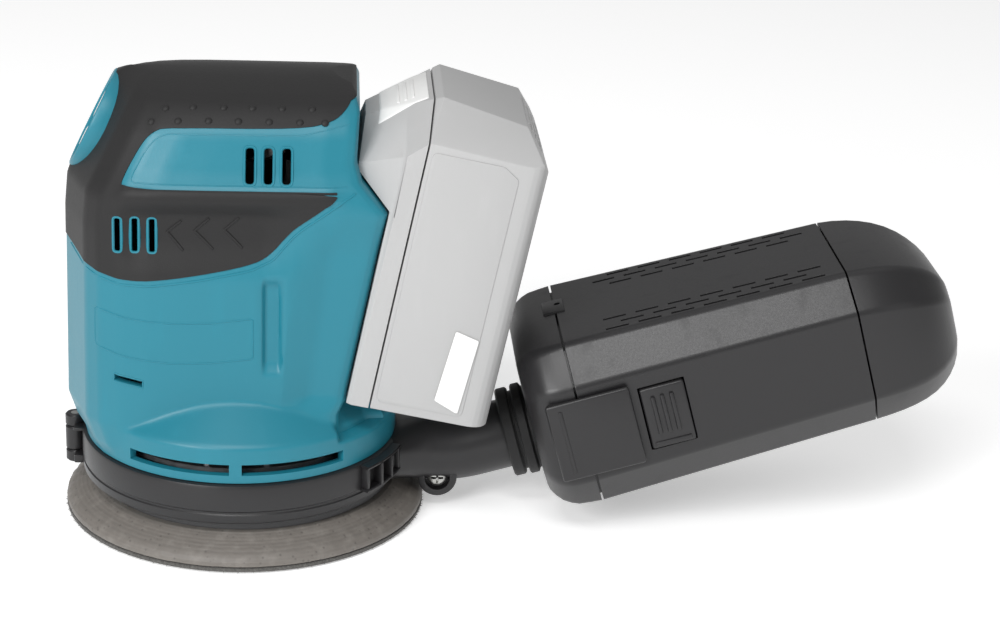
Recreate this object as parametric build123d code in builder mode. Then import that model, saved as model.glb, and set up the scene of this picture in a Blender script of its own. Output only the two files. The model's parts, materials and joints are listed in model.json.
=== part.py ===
"""Cordless random-orbit sander with a battery pack and a dust box.

Row frame: the origin is where the machine axis meets the pad's face, +X points to the
rear, where the battery and the dust box are, and +Z points up. The left side is -Y.
"""
from build123d import *
import os
from math import cos, radians, sin

os.makedirs("parts", exist_ok=True)

# ---------------------------------------------------------------- overall sizes
overall_height = 153.0
body_half_width = 40.0
base_radius = 51.2          # fan base that the clamp ring goes round

# ---------------------------------------------------------------- clearances
running_gap = 0.05          # shaft in its own bearing
slip_gap = 0.3              # pieces that slide past each other
loose_gap = 0.4             # battery in its socket, buttons in their windows
assembly_gap = 0.1          # fixed pieces that drop into a recess

# ---------------------------------------------------------------- pad and orbit
orbit_offset = 1.4          # eccentricity: half of the orbit diameter
pad_radius = 61.5
pad_top_radius = 51.0
hook_thickness = 1.6
foam_thickness = 8.6
backing_thickness = 2.2
backing_radius = 50.0
dust_hole_radius = 5.0
dust_hole_pcd = 65.0
dust_hole_count = 8
pad_screw_circle = 13.0
pad_screw_count = 4
pad_screw_radius = 2.0
pad_screw_head_radius = 4.0
pad_screw_head_height = 2.4

foam_bottom = hook_thickness
backing_bottom = foam_bottom + foam_thickness
pad_top = backing_bottom + backing_thickness

# ---------------------------------------------------------------- spindle and eccentric
spindle_radius = 5.0
spindle_flange_radius = 18.0
spindle_flange_thickness = 2.2
pad_bearing_radius = 13.0
pad_bearing_width = 8.0
carrier_wall = 2.6
carrier_web = 4.8
counterweight_reach = 9.0
counterweight_height = 6.0
counterweight_arc = 150.0

flange_top = pad_top + spindle_flange_thickness
carrier_bottom = flange_top + 0.6
carrier_radius = pad_bearing_radius + orbit_offset + carrier_wall
pocket_top = carrier_bottom + pad_bearing_width
carrier_top = pocket_top + carrier_web

# ---------------------------------------------------------------- fan and motor
shaft_radius = 4.5
base_wall = 2.8
fan_radius = base_radius - base_wall - 2.4
fan_disc_thickness = 1.6
fan_hub_radius = 10.0
fan_blade_thickness = 1.6
cooling_blade_height = 8.0
cooling_blade_count = 14
dust_blade_height = 7.5
dust_blade_count = 10
bearing_radius = 12.0
bearing_width = 8.0
can_radius = 21.5
can_wall = 2.0
can_bottom = 60.0
motor_headroom = 27.8       # from the upper bearing to the top of the housing
stack_gap = 1.0             # can to commutator
magnet_thickness = 2.3
magnet_count = 4
air_gap = 0.6
armature_end_gap = 6.0
winding_height = 4.5
winding_radius = 14.0
commutator_radius = 9.0
commutator_height = 11.0
brush_width = 5.0
brush_height = 7.0
brush_length = 9.0
holder_plate_thickness = 2.4
holder_boss_radius = 14.5

fan_disc_bottom = carrier_top + 0.6
fan_disc_top = fan_disc_bottom + fan_disc_thickness
fan_top = fan_disc_top + cooling_blade_height
plate_bottom = 42.5
plate_thickness = 2.5
lower_bearing_bottom = 46.0
lower_bearing_top = lower_bearing_bottom + bearing_width
upper_bearing_top = overall_height - motor_headroom
upper_bearing_bottom = upper_bearing_top - bearing_width
holder_plate_bottom = upper_bearing_bottom - holder_plate_thickness
commutator_top = holder_plate_bottom - 0.8
commutator_bottom = commutator_top - commutator_height
can_top = commutator_bottom - stack_gap
can_height = can_top - can_bottom
armature_height = can_height - 2 * armature_end_gap
magnet_radius = can_radius - can_wall
armature_radius = magnet_radius - magnet_thickness - air_gap
armature_bottom = can_bottom + armature_end_gap
armature_top = armature_bottom + armature_height

# ---------------------------------------------------------------- housing
body_front = -58.3
nose_radius = 33.0
plan_rear = 60.0
shoulder_radius = 14.0
wall = 3.2
overmold_thickness = 1.5
rim_radius = base_radius + 1.7
rim_bottom = 28.0
rim_top = 41.0
ledge_top = 49.0
ledge_radius = body_half_width + 3.0
slot_bottom = 30.7
slot_top = 34.5
slot_arc = 39.0
slot_half_bridge = 2.2
shelf_lap = 3.0
shelf_thickness = 3.0
screw_radius = 1.5
screw_head_radius = 2.9
screw_head_height = 2.4
screw_head_seat = 12.0
screw_depth = 10.0
boss_radius = 4.2
screw_places = [
    (body_front + 13.3, ledge_top + 13.0), (body_front + 12.3, overall_height - 53.0),
    (-26.0, overall_height - 11.0), (22.0, overall_height - 11.0),
]
vent_rows = [                # x of each slot, height of the row's middle, slot length and width
    ((4.0, 9.8, 15.6), overall_height - 22.6, 10.8, 2.7),
    ((-38.0, -32.5, -27.0), overall_height - 46.0, 11.6, 2.8),
]
vent_core = 24.0            # the slots stop at this distance from the middle
terminal_half_width = 14.0
terminal_span = (15.0, 48.0)
blade_span = (22.0, 42.0)

plate_radius = body_half_width - wall - 0.2

# ---------------------------------------------------------------- clamp ring and nozzle
base_bottom = pad_top + 0.5
ring_radius = base_radius + 3.2
ring_bottom = 13.7
ring_top = 27.7
ring_edge = 1.2
hinge_x = -ring_radius - 2.6
hinge_radius = 3.4
hinge_pin_radius = 1.5
hinge_bottom = 12.9
hinge_top = 30.2
hinge_knuckle = 4.2
nozzle_radius = 12.0
nozzle_wall = 1.8
nozzle_root_x = base_radius - 5.2
nozzle_root_half_width = 21.0
root_end_x = ring_radius + 11.6
elbow_x = ring_radius + 19.6
elbow_radius = 48.0
lug_radius = 7.2
lug_half_length = 9.5
lug_x = ring_radius + 13.2
lug_z = 10.8
clamp_screw_radius = 2.0
clamp_head_radius = 3.6
clamp_head_height = 2.4
nut_width = 7.0
nut_thickness = 3.0
pad_sweep_gap = 1.0

# ---------------------------------------------------------------- dust box
box_tilt = 16.2
box_front = (115.1, 0.0, 40.3)      # centre of the seam between cap and box
box_half_top = 29.1
box_half_width = 38.9
box_half_height = 29.7
box_upper_chamfer = 17.2
box_lower_chamfer = 16.6
box_length = 97.0
box_taper = 0.903                   # section scale at the far end of the straight part
end_length = 36.0
box_wall = 2.2
box_corner = 4.0
cap_depth = 17.0
lip_length = 6.0
lip_wall = 1.8
neck_drop = 8.8                     # nozzle axis below the box axis
collar_radius = nozzle_radius + 3.6
collar_gap = 0.3
collar_front = -27.5
collar_flange = 4.2
nozzle_end = -8.0
tongue_length = 17.5
tongue_back = 10.0
tongue_half_height = 14.0
tongue_thickness = 1.6
tongue_gap = 0.9
latch_start = 20.5
latch_length = 15.0
latch_half_height = 11.0
latch_proud = 1.4
latch_thickness = 2.6
filter_thickness = 3.0
filter_half_width = 22.0
filter_start = 14.0
filter_length = box_length - 23.0
louvre_rows = 4
louvre_columns = 7
louvre_size = (8.0, 1.6)
louvre_row_pitch = 9.0

# ---------------------------------------------------------------- battery
battery_tilt = 11.0
battery_foot = (35.2, 0.0, 50.0)    # lower end of the parting line with the housing
battery_half_width = 37.2
battery_depth = 48.0
battery_length = 107.0
battery_rear_corner = 7.2
battery_seam = 8.0
battery_wall = 2.0
rail_depth = 12.0
rail_stem_half = 20.0
rail_lip_half = 24.0
rail_lip_thickness = 3.6
rail_top = battery_length - 29.0
tool_rail_top = rail_top - 14.0
head_half_width = 30.0
socket_half_width = 30.6
socket_wall = 2.4
socket_floor_gap = 0.5
contact_offset = 8.0
blade_thickness = 1.0
contact_slot = 2.6
contact_slot_top = 46.0
leaf_thickness = 0.5
cell_radius = 9.0
cell_length = 65.0
cell_pitch = 18.3
cell_rows = int((battery_length - 14.0) / cell_pitch)
button_half_width = 16.6
button_depth = (-8.0, 6.5)
button_bottom = battery_length - 10.5
button_travel = 4.0

# ---------------------------------------------------------------- front panel
panel_tilt = 26.5
panel_centre = (body_front + 10.1, 0.0, overall_height - 17.5)
bezel_half_width = 17.5
bezel_half_height = 17.8
bezel_width = 2.4
bezel_proud = 0.8
bezel_depth = 3.0
power_button_radius = 5.2
speed_button_radius = 3.6
panel_button_proud = 0.7
panel_button_length = 3.2
panel_button_gap = 0.2
lamp_radius = 0.9

# ---------------------------------------------------------------- planes
tau = radians(battery_tilt)
battery_out = (cos(tau), 0, -sin(tau))
battery_up = (sin(tau), 0, cos(tau))
battery_plan = Plane(origin=battery_foot, x_dir=battery_out, z_dir=battery_up)
battery_side = Plane(origin=battery_foot, x_dir=battery_out, z_dir=(0, -1, 0))
battery_face = Plane(origin=battery_foot, x_dir=(0, 1, 0), z_dir=battery_out)

tilt = radians(box_tilt)
box_axis = Vector(cos(tilt), 0, sin(tilt))
box_lift = Vector(-sin(tilt), 0, cos(tilt))
box_seam = Plane(origin=box_front, x_dir=(0, 1, 0), z_dir=box_axis)
nozzle_seam = Plane(origin=Vector(*box_front) - box_lift * neck_drop, x_dir=(0, 1, 0), z_dir=box_axis)
nozzle_origin = nozzle_seam.origin
elbow_z = nozzle_origin.Z - (nozzle_origin.X - elbow_x) * sin(tilt) / cos(tilt)

phi = radians(panel_tilt)
panel_plane = Plane(origin=panel_centre, x_dir=(0, -1, 0), z_dir=(-cos(phi), 0, sin(phi)))


def radial_plane(angle):
    """Upright plane through the machine axis; local x is the radius, local y is Z."""
    a = radians(angle)
    return Plane(origin=(0, 0, 0), x_dir=(cos(a), sin(a), 0), z_dir=(sin(a), -cos(a), 0))


def disc(radius, bottom, top, centre_x=0.0, mode=Mode.ADD):
    """Upright cylinder about a vertical axis on the X axis."""
    with BuildSketch(Plane.XY.offset(bottom)) as round_face:
        with Locations((centre_x, 0)):
            Circle(radius)
    extrude(round_face.sketch, amount=top - bottom, mode=mode)


def slab(plane, x_range, y_range, z_range, mode=Mode.ADD):
    """Block given by its limits along a plane's own axes."""
    with BuildSketch(plane.offset(z_range[0])) as footprint:
        with Locations(((x_range[0] + x_range[1]) / 2, (y_range[0] + y_range[1]) / 2)):
            Rectangle(x_range[1] - x_range[0], y_range[1] - y_range[0])
    extrude(footprint.sketch, amount=z_range[1] - z_range[0], mode=mode)


# ================================================================ housing body
flank_height = overall_height - 37.7 - battery_foot[2]
side_outline = [
    (body_front + 5.7, rim_bottom), (body_front + 2.7, rim_bottom + 5.0), (body_front, rim_top),
    (body_front + 0.9, overall_height - 45.0), (body_front + 1.9, overall_height - 34.0),
    (body_front + 18.1, overall_height - 1.6), (body_front + 22.3, overall_height),
    (29.0, overall_height), (36.6, overall_height - 1.8), (38.6, overall_height - 7.0),
    (37.8, overall_height - 22.0), (39.5, overall_height - 28.0),
    (battery_foot[0] + flank_height * sin(tau) / cos(tau), battery_foot[2] + flank_height),
    (battery_foot[0], battery_foot[2]), (battery_foot[0] - 2.0, ledge_top - 3.0),
    (battery_foot[0] - 2.0, rim_bottom),
]
cross_outline = [
    (body_half_width, rim_bottom), (body_half_width, overall_height - 41.0),
    (body_half_width - 2.0, overall_height - 26.0), (body_half_width - 6.5, overall_height - 12.0),
    (body_half_width - 14.0, overall_height - 3.4), (body_half_width - 27.0, overall_height),
]


def housing_body(inset):
    """Outer form of the housing, or the same form moved inwards by inset."""
    with BuildPart() as body:
        with BuildSketch(Plane.XY.offset(rim_bottom)) as plan:
            with Locations(((body_front + inset + plan_rear) / 2, 0)):
                Rectangle(plan_rear - body_front - inset, 2 * (body_half_width - inset))
            fillet(plan.vertices().group_by(Axis.X)[0], nose_radius - inset)
        extrude(amount=overall_height)
        with BuildSketch(Plane.XZ) as side:
            with BuildLine():
                Polyline(*side_outline, close=True)
            make_face()
            if inset:
                offset(amount=-inset, kind=Kind.INTERSECTION, mode=Mode.REPLACE)
        extrude(amount=2 * body_half_width, both=True, mode=Mode.INTERSECT)
        with BuildSketch(Plane.YZ) as cross:
            with BuildLine():
                half = Polyline(*cross_outline)
                mirror(half, about=Plane.YZ)
                Line(half @ 1, (-(half @ 1).X, (half @ 1).Y))
                Line(half @ 0, (-(half @ 0).X, (half @ 0).Y))
            make_face()
            if inset:
                offset(amount=-inset, kind=Kind.INTERSECTION, mode=Mode.REPLACE)
            fillet(cross.vertices().filter_by(lambda v: v.Z > overall_height - 33), shoulder_radius - inset)
        extrude(amount=2 * overall_height, both=True, mode=Mode.INTERSECT)
        with BuildSketch(Plane.XZ):
            with BuildLine():
                Polyline(
                    (0, rim_bottom), (rim_radius - inset, rim_bottom), (rim_radius - inset, rim_top),
                    (ledge_radius - inset, ledge_top - inset), (0, ledge_top - inset), close=True,
                )
            make_face()
        revolve(axis=Axis.Z)
    return body.part


body_outer = housing_body(0.0)
body_skin = housing_body(overmold_thickness)
body_cavity = housing_body(wall)

# side view of the soft grip: a cap over the top, front and finger recess
grip_outline = [              # x and depth below the top
    (-70, 54), (-53.5, 56), (-47, 58.5), (-37.5, 60.5), (-28, 60.6), (-12, 58.3), (4, 55),
    (10.4, 52), (16.8, 44), (20, 41), (31.6, 32.4), (31.6, 30.5), (-36.5, 30.5),
    (-36.2, 28), (-30.5, 17.5), (-27, 13.5), (-22.5, 11.7), (19.6, 11.5), (32, 8.5),
    (60, 7.5), (60, -17), (-70, -17),
]
with BuildPart() as grip_region:
    with BuildSketch(Plane.XZ) as grip_side:
        with BuildLine():
            Polyline(*[(x, overall_height - depth) for x, depth in grip_outline], close=True)
        make_face()
    extrude(amount=2 * body_half_width, both=True)

with BuildPart() as grip_skin:
    add(body_outer)
    add(body_skin, mode=Mode.SUBTRACT)
    add(grip_region.part, mode=Mode.INTERSECT)

with BuildPart() as panel_recess:
    with BuildSketch(panel_plane.offset(-bezel_depth)):
        Ellipse(bezel_half_width, bezel_half_height)
    extrude(amount=bezel_depth + 10)

with BuildPart() as panel_window:
    with BuildSketch(panel_plane.offset(-bezel_depth - wall)):
        Ellipse(bezel_half_width - bezel_width, bezel_half_height - bezel_width)
    extrude(amount=wall + 10)

with BuildPart() as screw_access:
    with BuildSketch(Plane.XZ.offset(-screw_head_seat)):
        with Locations(*screw_places):
            Circle(screw_head_radius + 0.4)
    extrude(amount=-2 * body_half_width)

with BuildPart() as side_vents:
    with BuildSketch(Plane.XZ):
        for places, middle, length, width in vent_rows:
            with Locations(*[(x, middle) for x in places]):
                SlotOverall(length, width, rotation=90)
    extrude(amount=2 * body_half_width, both=True)
    slab(Plane.XY, (-60, 60), (-vent_core, vent_core), (0, 2 * overall_height), mode=Mode.SUBTRACT)

# battery socket: the space it needs, its outer wall, and the rails left standing in it
with BuildPart() as socket_space:
    slab(battery_plan, (-rail_depth - socket_floor_gap, 70), (-socket_half_width, socket_half_width), (0.6, 150))
    slab(battery_plan, (-0.4, 70), (-battery_half_width - 2, battery_half_width + 2), (-1.2, 150))
    for side in (-1, 1):
        rail_edges = sorted((side * (rail_stem_half + loose_gap), side * (socket_half_width + 1)))
        rail_reach = (-rail_depth + rail_lip_thickness + loose_gap, -2.0)
        slab(battery_plan, rail_reach, rail_edges, (2.0, tool_rail_top), mode=Mode.SUBTRACT)

with BuildPart() as socket_block:
    slab(
        battery_plan,
        (-rail_depth - socket_floor_gap - socket_wall, 70),
        (-socket_half_width - socket_wall, socket_half_width + socket_wall),
        (-3.0, 150),
    )

saddle_height = 4.0
saddle_inset = 3.0          # from each end of the motor can
saddle_hole_radius = 5.0
saddle_hole_circle = 30.0
# hollow of the housing: the cavity without the motor saddles, bosses and fan shelf
with BuildPart() as housing_hollow:
    add(body_cavity)
    for saddle in (can_bottom + saddle_inset, can_top - saddle_inset - saddle_height):
        with BuildSketch(Plane.XY.offset(saddle)):
            Rectangle(200, 200)
            Circle(can_radius, mode=Mode.SUBTRACT)
            with PolarLocations(saddle_hole_circle, 4, start_angle=45):
                Circle(saddle_hole_radius, mode=Mode.SUBTRACT)
        extrude(amount=saddle_height, mode=Mode.SUBTRACT)
    with BuildSketch(Plane.XZ):
        with Locations(*screw_places):
            Circle(boss_radius)
    extrude(amount=2 * body_half_width, both=True, mode=Mode.SUBTRACT)
    with BuildSketch(Plane.XY.offset(plate_bottom - shelf_thickness)):
        Circle(rim_radius + 5)
        Circle(plate_radius - shelf_lap, mode=Mode.SUBTRACT)
    extrude(amount=shelf_thickness, mode=Mode.SUBTRACT)
    add(socket_block.part, mode=Mode.SUBTRACT)
    disc(rim_radius - wall, rim_bottom - 1, rim_bottom + 1)

with BuildPart() as housing_shell:
    add(body_outer)
    add(housing_hollow.part, mode=Mode.SUBTRACT)
    add(grip_skin.part, mode=Mode.SUBTRACT)
    add(socket_space.part, mode=Mode.SUBTRACT)
    add(panel_recess.part, mode=Mode.SUBTRACT)
    add(panel_window.part, mode=Mode.SUBTRACT)
    add(side_vents.part, mode=Mode.SUBTRACT)
    for start in (slot_half_bridge, -slot_half_bridge - slot_arc, 180 + slot_half_bridge,
                  180 - slot_half_bridge - slot_arc):
        with BuildSketch(radial_plane(start - 90)):
            with Locations((rim_radius, (slot_bottom + slot_top) / 2)):
                Rectangle(4 * wall, slot_top - slot_bottom)
        revolve(axis=Axis.Z, revolution_arc=slot_arc, mode=Mode.SUBTRACT)
    # opening in the socket floor for the terminal block
    slab(battery_plan, (-rail_depth - 6, -rail_depth + 1), (-terminal_half_width, terminal_half_width),
         terminal_span, mode=Mode.SUBTRACT)

with BuildPart() as housing_left:
    add(housing_shell.part)
    split(bisect_by=Plane.XZ, keep=Keep.TOP)
    with BuildSketch(Plane.XZ):
        with Locations(*screw_places):
            Circle(screw_radius)
    extrude(amount=screw_depth + 1, mode=Mode.SUBTRACT)
housing_left.part.label = "housing_left"
export_step(housing_left.part, "parts/housing_left.step")

with BuildPart() as housing_right:
    add(housing_shell.part)
    split(bisect_by=Plane.XZ, keep=Keep.BOTTOM)
    with BuildSketch(Plane.XZ):
        with Locations(*screw_places):
            Circle(screw_radius + 0.2)
    extrude(amount=-2 * body_half_width, mode=Mode.SUBTRACT)
    add(screw_access.part, mode=Mode.SUBTRACT)
housing_right.part.label = "housing_right"
export_step(housing_right.part, "parts/housing_right.step")

with BuildPart() as grip_overmold:
    add(grip_skin.part)
    add(panel_recess.part, mode=Mode.SUBTRACT)
    add(side_vents.part, mode=Mode.SUBTRACT)
    add(screw_access.part, mode=Mode.SUBTRACT)
    add(socket_space.part, mode=Mode.SUBTRACT)
grip_overmold.part.label = "grip_overmold"
export_step(grip_overmold.part, "parts/grip_overmold.step")

with BuildPart() as housing_screws:
    with BuildSketch(Plane.XZ.offset(-screw_head_seat)):
        with Locations(*screw_places):
            Circle(screw_radius)
    extrude(amount=screw_head_seat + screw_depth)
    with BuildSketch(Plane.XZ.offset(-screw_head_seat)):
        with Locations(*screw_places):
            Circle(screw_head_radius)
    extrude(amount=-screw_head_height)
    with BuildSketch(Plane.XZ.offset(-screw_head_seat - screw_head_height)):
        with Locations(*screw_places):
            Rectangle(3.2, 0.8)
            Rectangle(0.8, 3.2)
    extrude(amount=1.2, mode=Mode.SUBTRACT)
housing_screws.part.label = "housing_screws"
export_step(housing_screws.part, "parts/housing_screws.step")

# ================================================================ front panel
with BuildPart() as panel_bezel:
    with BuildSketch(panel_plane.offset(-bezel_depth)):
        Ellipse(bezel_half_width - assembly_gap, bezel_half_height - assembly_gap)
        Ellipse(bezel_half_width - bezel_width, bezel_half_height - bezel_width, mode=Mode.SUBTRACT)
    extrude(amount=bezel_depth + bezel_proud)
panel_bezel.part.label = "panel_bezel"
export_step(panel_bezel.part, "parts/panel_bezel.step")

power_button_y = 5.0
speed_button_y = -7.5
lamp_places = [(-9.0, -5.0), (-9.0, -1.0), (-9.0, 3.0)]
board_size = 24.0
board_thickness = 1.6
switch_size = 5.0
switch_height = 1.4
with BuildPart() as panel_plate:
    with BuildSketch(panel_plane.offset(-bezel_depth)):
        plate_gap = bezel_width + assembly_gap
        Ellipse(bezel_half_width - plate_gap, bezel_half_height - plate_gap)
        with Locations((0, power_button_y)):
            Circle(power_button_radius + panel_button_gap, mode=Mode.SUBTRACT)
        with Locations((0, speed_button_y)):
            Circle(speed_button_radius + panel_button_gap, mode=Mode.SUBTRACT)
        with Locations(*lamp_places):
            Circle(lamp_radius + assembly_gap, mode=Mode.SUBTRACT)
    extrude(amount=bezel_depth - 1.0)
panel_plate.part.label = "panel_plate"
export_step(panel_plate.part, "parts/panel_plate.step")

with BuildPart() as speed_lamps:
    with BuildSketch(panel_plane.offset(-bezel_depth - 1.0)):
        with Locations(*lamp_places):
            Circle(lamp_radius)
    extrude(amount=bezel_depth + 0.2)
speed_lamps.part.label = "speed_lamps"
export_step(speed_lamps.part, "parts/speed_lamps.step")

panel_button_top = -1.0 + panel_button_proud
with BuildPart() as power_button:
    with BuildSketch(panel_plane.offset(panel_button_top - panel_button_length)):
        with Locations((0, power_button_y)):
            Circle(power_button_radius)
    extrude(amount=panel_button_length)
power_button.part.label = "power_button"
export_step(power_button.part, "parts/power_button.step")

with BuildPart() as speed_button:
    with BuildSketch(panel_plane.offset(panel_button_top - panel_button_length)):
        with Locations((0, speed_button_y)):
            Circle(speed_button_radius)
    extrude(amount=panel_button_length)
speed_button.part.label = "speed_button"
export_step(speed_button.part, "parts/speed_button.step")

board_top = -bezel_depth - 3.6
with BuildPart() as control_board:
    with BuildSketch(panel_plane.offset(board_top - board_thickness)):
        Rectangle(board_size, board_size)
    extrude(amount=board_thickness)
    with BuildSketch(panel_plane.offset(board_top)):
        with Locations((0, power_button_y), (0, speed_button_y)):
            Rectangle(switch_size, switch_size)
    extrude(amount=switch_height)
control_board.part.label = "control_board"
export_step(control_board.part, "parts/control_board.step")

# ================================================================ motor, fixed pieces
seat_wall = 2.6
plate_hole_radius = 5.0
plate_hole_count = 8
plate_hole_pcd = 52.0
with BuildPart() as bearing_plate:
    disc(plate_radius, plate_bottom, plate_bottom + plate_thickness)
    disc(bearing_radius + seat_wall, plate_bottom, lower_bearing_top)
    disc(bearing_radius, lower_bearing_bottom, lower_bearing_top, mode=Mode.SUBTRACT)
    disc(shaft_radius + 3.0, plate_bottom, lower_bearing_bottom, mode=Mode.SUBTRACT)
    with BuildSketch(Plane.XY.offset(plate_bottom)):
        with PolarLocations(plate_hole_pcd / 2, plate_hole_count):
            Circle(plate_hole_radius)
    extrude(amount=plate_thickness, mode=Mode.SUBTRACT)
bearing_plate.part.label = "bearing_plate"
export_step(bearing_plate.part, "parts/bearing_plate.step")

for name, bottom in (("lower_bearing", lower_bearing_bottom), ("upper_bearing", upper_bearing_bottom)):
    with BuildPart() as bearing:
        disc(bearing_radius, bottom, bottom + bearing_width)
        disc(shaft_radius + running_gap, bottom, bottom + bearing_width, mode=Mode.SUBTRACT)
    bearing.part.label = name
    export_step(bearing.part, f"parts/{name}.step")

with BuildPart() as motor_can:
    disc(can_radius, can_bottom, can_top)
    disc(can_radius - can_wall, can_bottom, can_top, mode=Mode.SUBTRACT)
motor_can.part.label = "motor_can"
export_step(motor_can.part, "parts/motor_can.step")

magnet_arc = 360.0 / magnet_count - 16.0
with BuildPart() as magnets:
    for i in range(magnet_count):
        with BuildSketch(radial_plane(i * 360.0 / magnet_count + 8.0)):
            with Locations((magnet_radius - magnet_thickness / 2, (armature_bottom + armature_top) / 2)):
                Rectangle(magnet_thickness, armature_height + 2)
        revolve(axis=Axis.Z, revolution_arc=magnet_arc)
magnets.part.label = "magnets"
export_step(magnets.part, "parts/magnets.step")

brush_start = commutator_radius + slip_gap
with BuildPart() as carbon_brushes:
    for side in (1, -1):
        reach = sorted((side * brush_start, side * (brush_start + brush_length)))
        slab(Plane.XY, (-brush_width / 2, brush_width / 2), reach,
             (commutator_bottom + 2, commutator_bottom + 2 + brush_height))
carbon_brushes.part.label = "carbon_brushes"
export_step(carbon_brushes.part, "parts/carbon_brushes.step")

with BuildPart() as brush_holder:
    disc(can_radius, holder_plate_bottom, upper_bearing_bottom)
    disc(holder_boss_radius, holder_plate_bottom, upper_bearing_top)
    for side in (1, -1):
        reach = sorted((side * (brush_start + 2.0), side * (can_radius - 1)))
        slab(Plane.XY, (-brush_width / 2 - 1.5, brush_width / 2 + 1.5), reach,
             (commutator_bottom + 0.5, holder_plate_bottom))
        slab(Plane.XY, (-brush_width / 2, brush_width / 2), reach,
             (commutator_bottom + 2, commutator_bottom + 2 + brush_height), mode=Mode.SUBTRACT)
    disc(bearing_radius, upper_bearing_bottom, upper_bearing_top, mode=Mode.SUBTRACT)
    disc(shaft_radius + 1.5, holder_plate_bottom, upper_bearing_bottom, mode=Mode.SUBTRACT)
brush_holder.part.label = "brush_holder"
export_step(brush_holder.part, "parts/brush_holder.step")

# ================================================================ rotor
with BuildPart() as motor_shaft:
    disc(shaft_radius, pocket_top, upper_bearing_top + 1.5)
motor_shaft.part.label = "motor_shaft"
export_step(motor_shaft.part, "parts/motor_shaft.step")

with BuildPart() as armature:
    with BuildSketch(Plane.XY.offset(armature_bottom)):
        Circle(armature_radius)
        with PolarLocations(armature_radius - 2.2, 10):
            Rectangle(5.2, 2.0, mode=Mode.SUBTRACT)
        Circle(shaft_radius, mode=Mode.SUBTRACT)
    extrude(amount=armature_height)
armature.part.label = "armature"
export_step(armature.part, "parts/armature.step")

with BuildPart() as armature_windings:
    for bottom in (armature_bottom - winding_height, armature_top):
        disc(winding_radius, bottom, bottom + winding_height)
        disc(shaft_radius + 1.0, bottom, bottom + winding_height, mode=Mode.SUBTRACT)
armature_windings.part.label = "armature_windings"
export_step(armature_windings.part, "parts/armature_windings.step")

with BuildPart() as commutator:
    with BuildSketch(Plane.XY.offset(commutator_bottom)):
        Circle(commutator_radius)
        Circle(shaft_radius, mode=Mode.SUBTRACT)
        with PolarLocations(commutator_radius, 10):
            Rectangle(1.6, 0.5, mode=Mode.SUBTRACT)
    extrude(amount=commutator_height)
commutator.part.label = "commutator"
export_step(commutator.part, "parts/commutator.step")

with BuildPart() as fan:
    disc(fan_radius, fan_disc_bottom, fan_disc_top)
    disc(fan_hub_radius, carrier_top, fan_top)
    with BuildSketch(Plane.XY.offset(fan_disc_top)):
        with PolarLocations((fan_hub_radius + fan_radius - 3.0) / 2, cooling_blade_count):
            Rectangle(fan_radius - fan_hub_radius - 1.0, fan_blade_thickness)
    extrude(amount=cooling_blade_height)
    blade_inner = carrier_radius + counterweight_reach + 2.0
    with BuildSketch(Plane.XY.offset(fan_disc_bottom - dust_blade_height)):
        with PolarLocations((blade_inner + fan_radius - 1.0) / 2, dust_blade_count):
            Rectangle(fan_radius - 1.0 - blade_inner, fan_blade_thickness)
    extrude(amount=dust_blade_height)
    disc(shaft_radius, carrier_top, fan_top, mode=Mode.SUBTRACT)
fan.part.label = "fan"
export_step(fan.part, "parts/fan.step")

with BuildPart() as eccentric_carrier:
    disc(carrier_radius, carrier_bottom, carrier_top)
    disc(pad_bearing_radius, carrier_bottom, pocket_top, centre_x=orbit_offset, mode=Mode.SUBTRACT)
    disc(shaft_radius, pocket_top, carrier_top, mode=Mode.SUBTRACT)
eccentric_carrier.part.label = "eccentric_carrier"
export_step(eccentric_carrier.part, "parts/eccentric_carrier.step")

with BuildPart() as counterweight:
    with BuildSketch(radial_plane(180 - counterweight_arc / 2)):
        with Locations((carrier_radius + counterweight_reach / 2, carrier_bottom + 2 + counterweight_height / 2)):
            Rectangle(counterweight_reach, counterweight_height)
    revolve(axis=Axis.Z, revolution_arc=counterweight_arc)
counterweight.part.label = "counterweight"
export_step(counterweight.part, "parts/counterweight.step")

with BuildPart() as pad_bearing:
    disc(pad_bearing_radius, carrier_bottom, pocket_top, centre_x=orbit_offset)
    disc(spindle_radius + running_gap, carrier_bottom, pocket_top, centre_x=orbit_offset, mode=Mode.SUBTRACT)
pad_bearing.part.label = "pad_bearing"
export_step(pad_bearing.part, "parts/pad_bearing.step")

# ================================================================ pad
pad_plane = Plane.XY.shift_origin((orbit_offset, 0, 0))
with BuildPart() as pad_spindle:
    disc(spindle_flange_radius, pad_top, flange_top, centre_x=orbit_offset)
    disc(spindle_radius, flange_top, pocket_top - 0.3, centre_x=orbit_offset)
    with BuildSketch(pad_plane.offset(pad_top)):
        with PolarLocations(pad_screw_circle, pad_screw_count, start_angle=45):
            Circle(pad_screw_radius)
    extrude(amount=spindle_flange_thickness, mode=Mode.SUBTRACT)
pad_spindle.part.label = "pad_spindle"
export_step(pad_spindle.part, "parts/pad_spindle.step")

with BuildPart() as pad_hole_tool:
    with BuildSketch(pad_plane.offset(-1)):
        with PolarLocations(dust_hole_pcd / 2, dust_hole_count):
            Circle(dust_hole_radius)
        with PolarLocations(pad_screw_circle, pad_screw_count, start_angle=45):
            Circle(pad_screw_head_radius + 0.3)
    extrude(amount=backing_bottom + 1)
    with BuildSketch(pad_plane.offset(backing_bottom)):
        with PolarLocations(dust_hole_pcd / 2, dust_hole_count):
            Circle(dust_hole_radius)
        with PolarLocations(pad_screw_circle, pad_screw_count, start_angle=45):
            Circle(pad_screw_radius)
    extrude(amount=backing_thickness + 1)

with BuildPart() as hook_layer:
    disc(pad_radius, 0, hook_thickness, centre_x=orbit_offset)
    add(pad_hole_tool.part, mode=Mode.SUBTRACT)
hook_layer.part.label = "hook_layer"
export_step(hook_layer.part, "parts/hook_layer.step")

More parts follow.
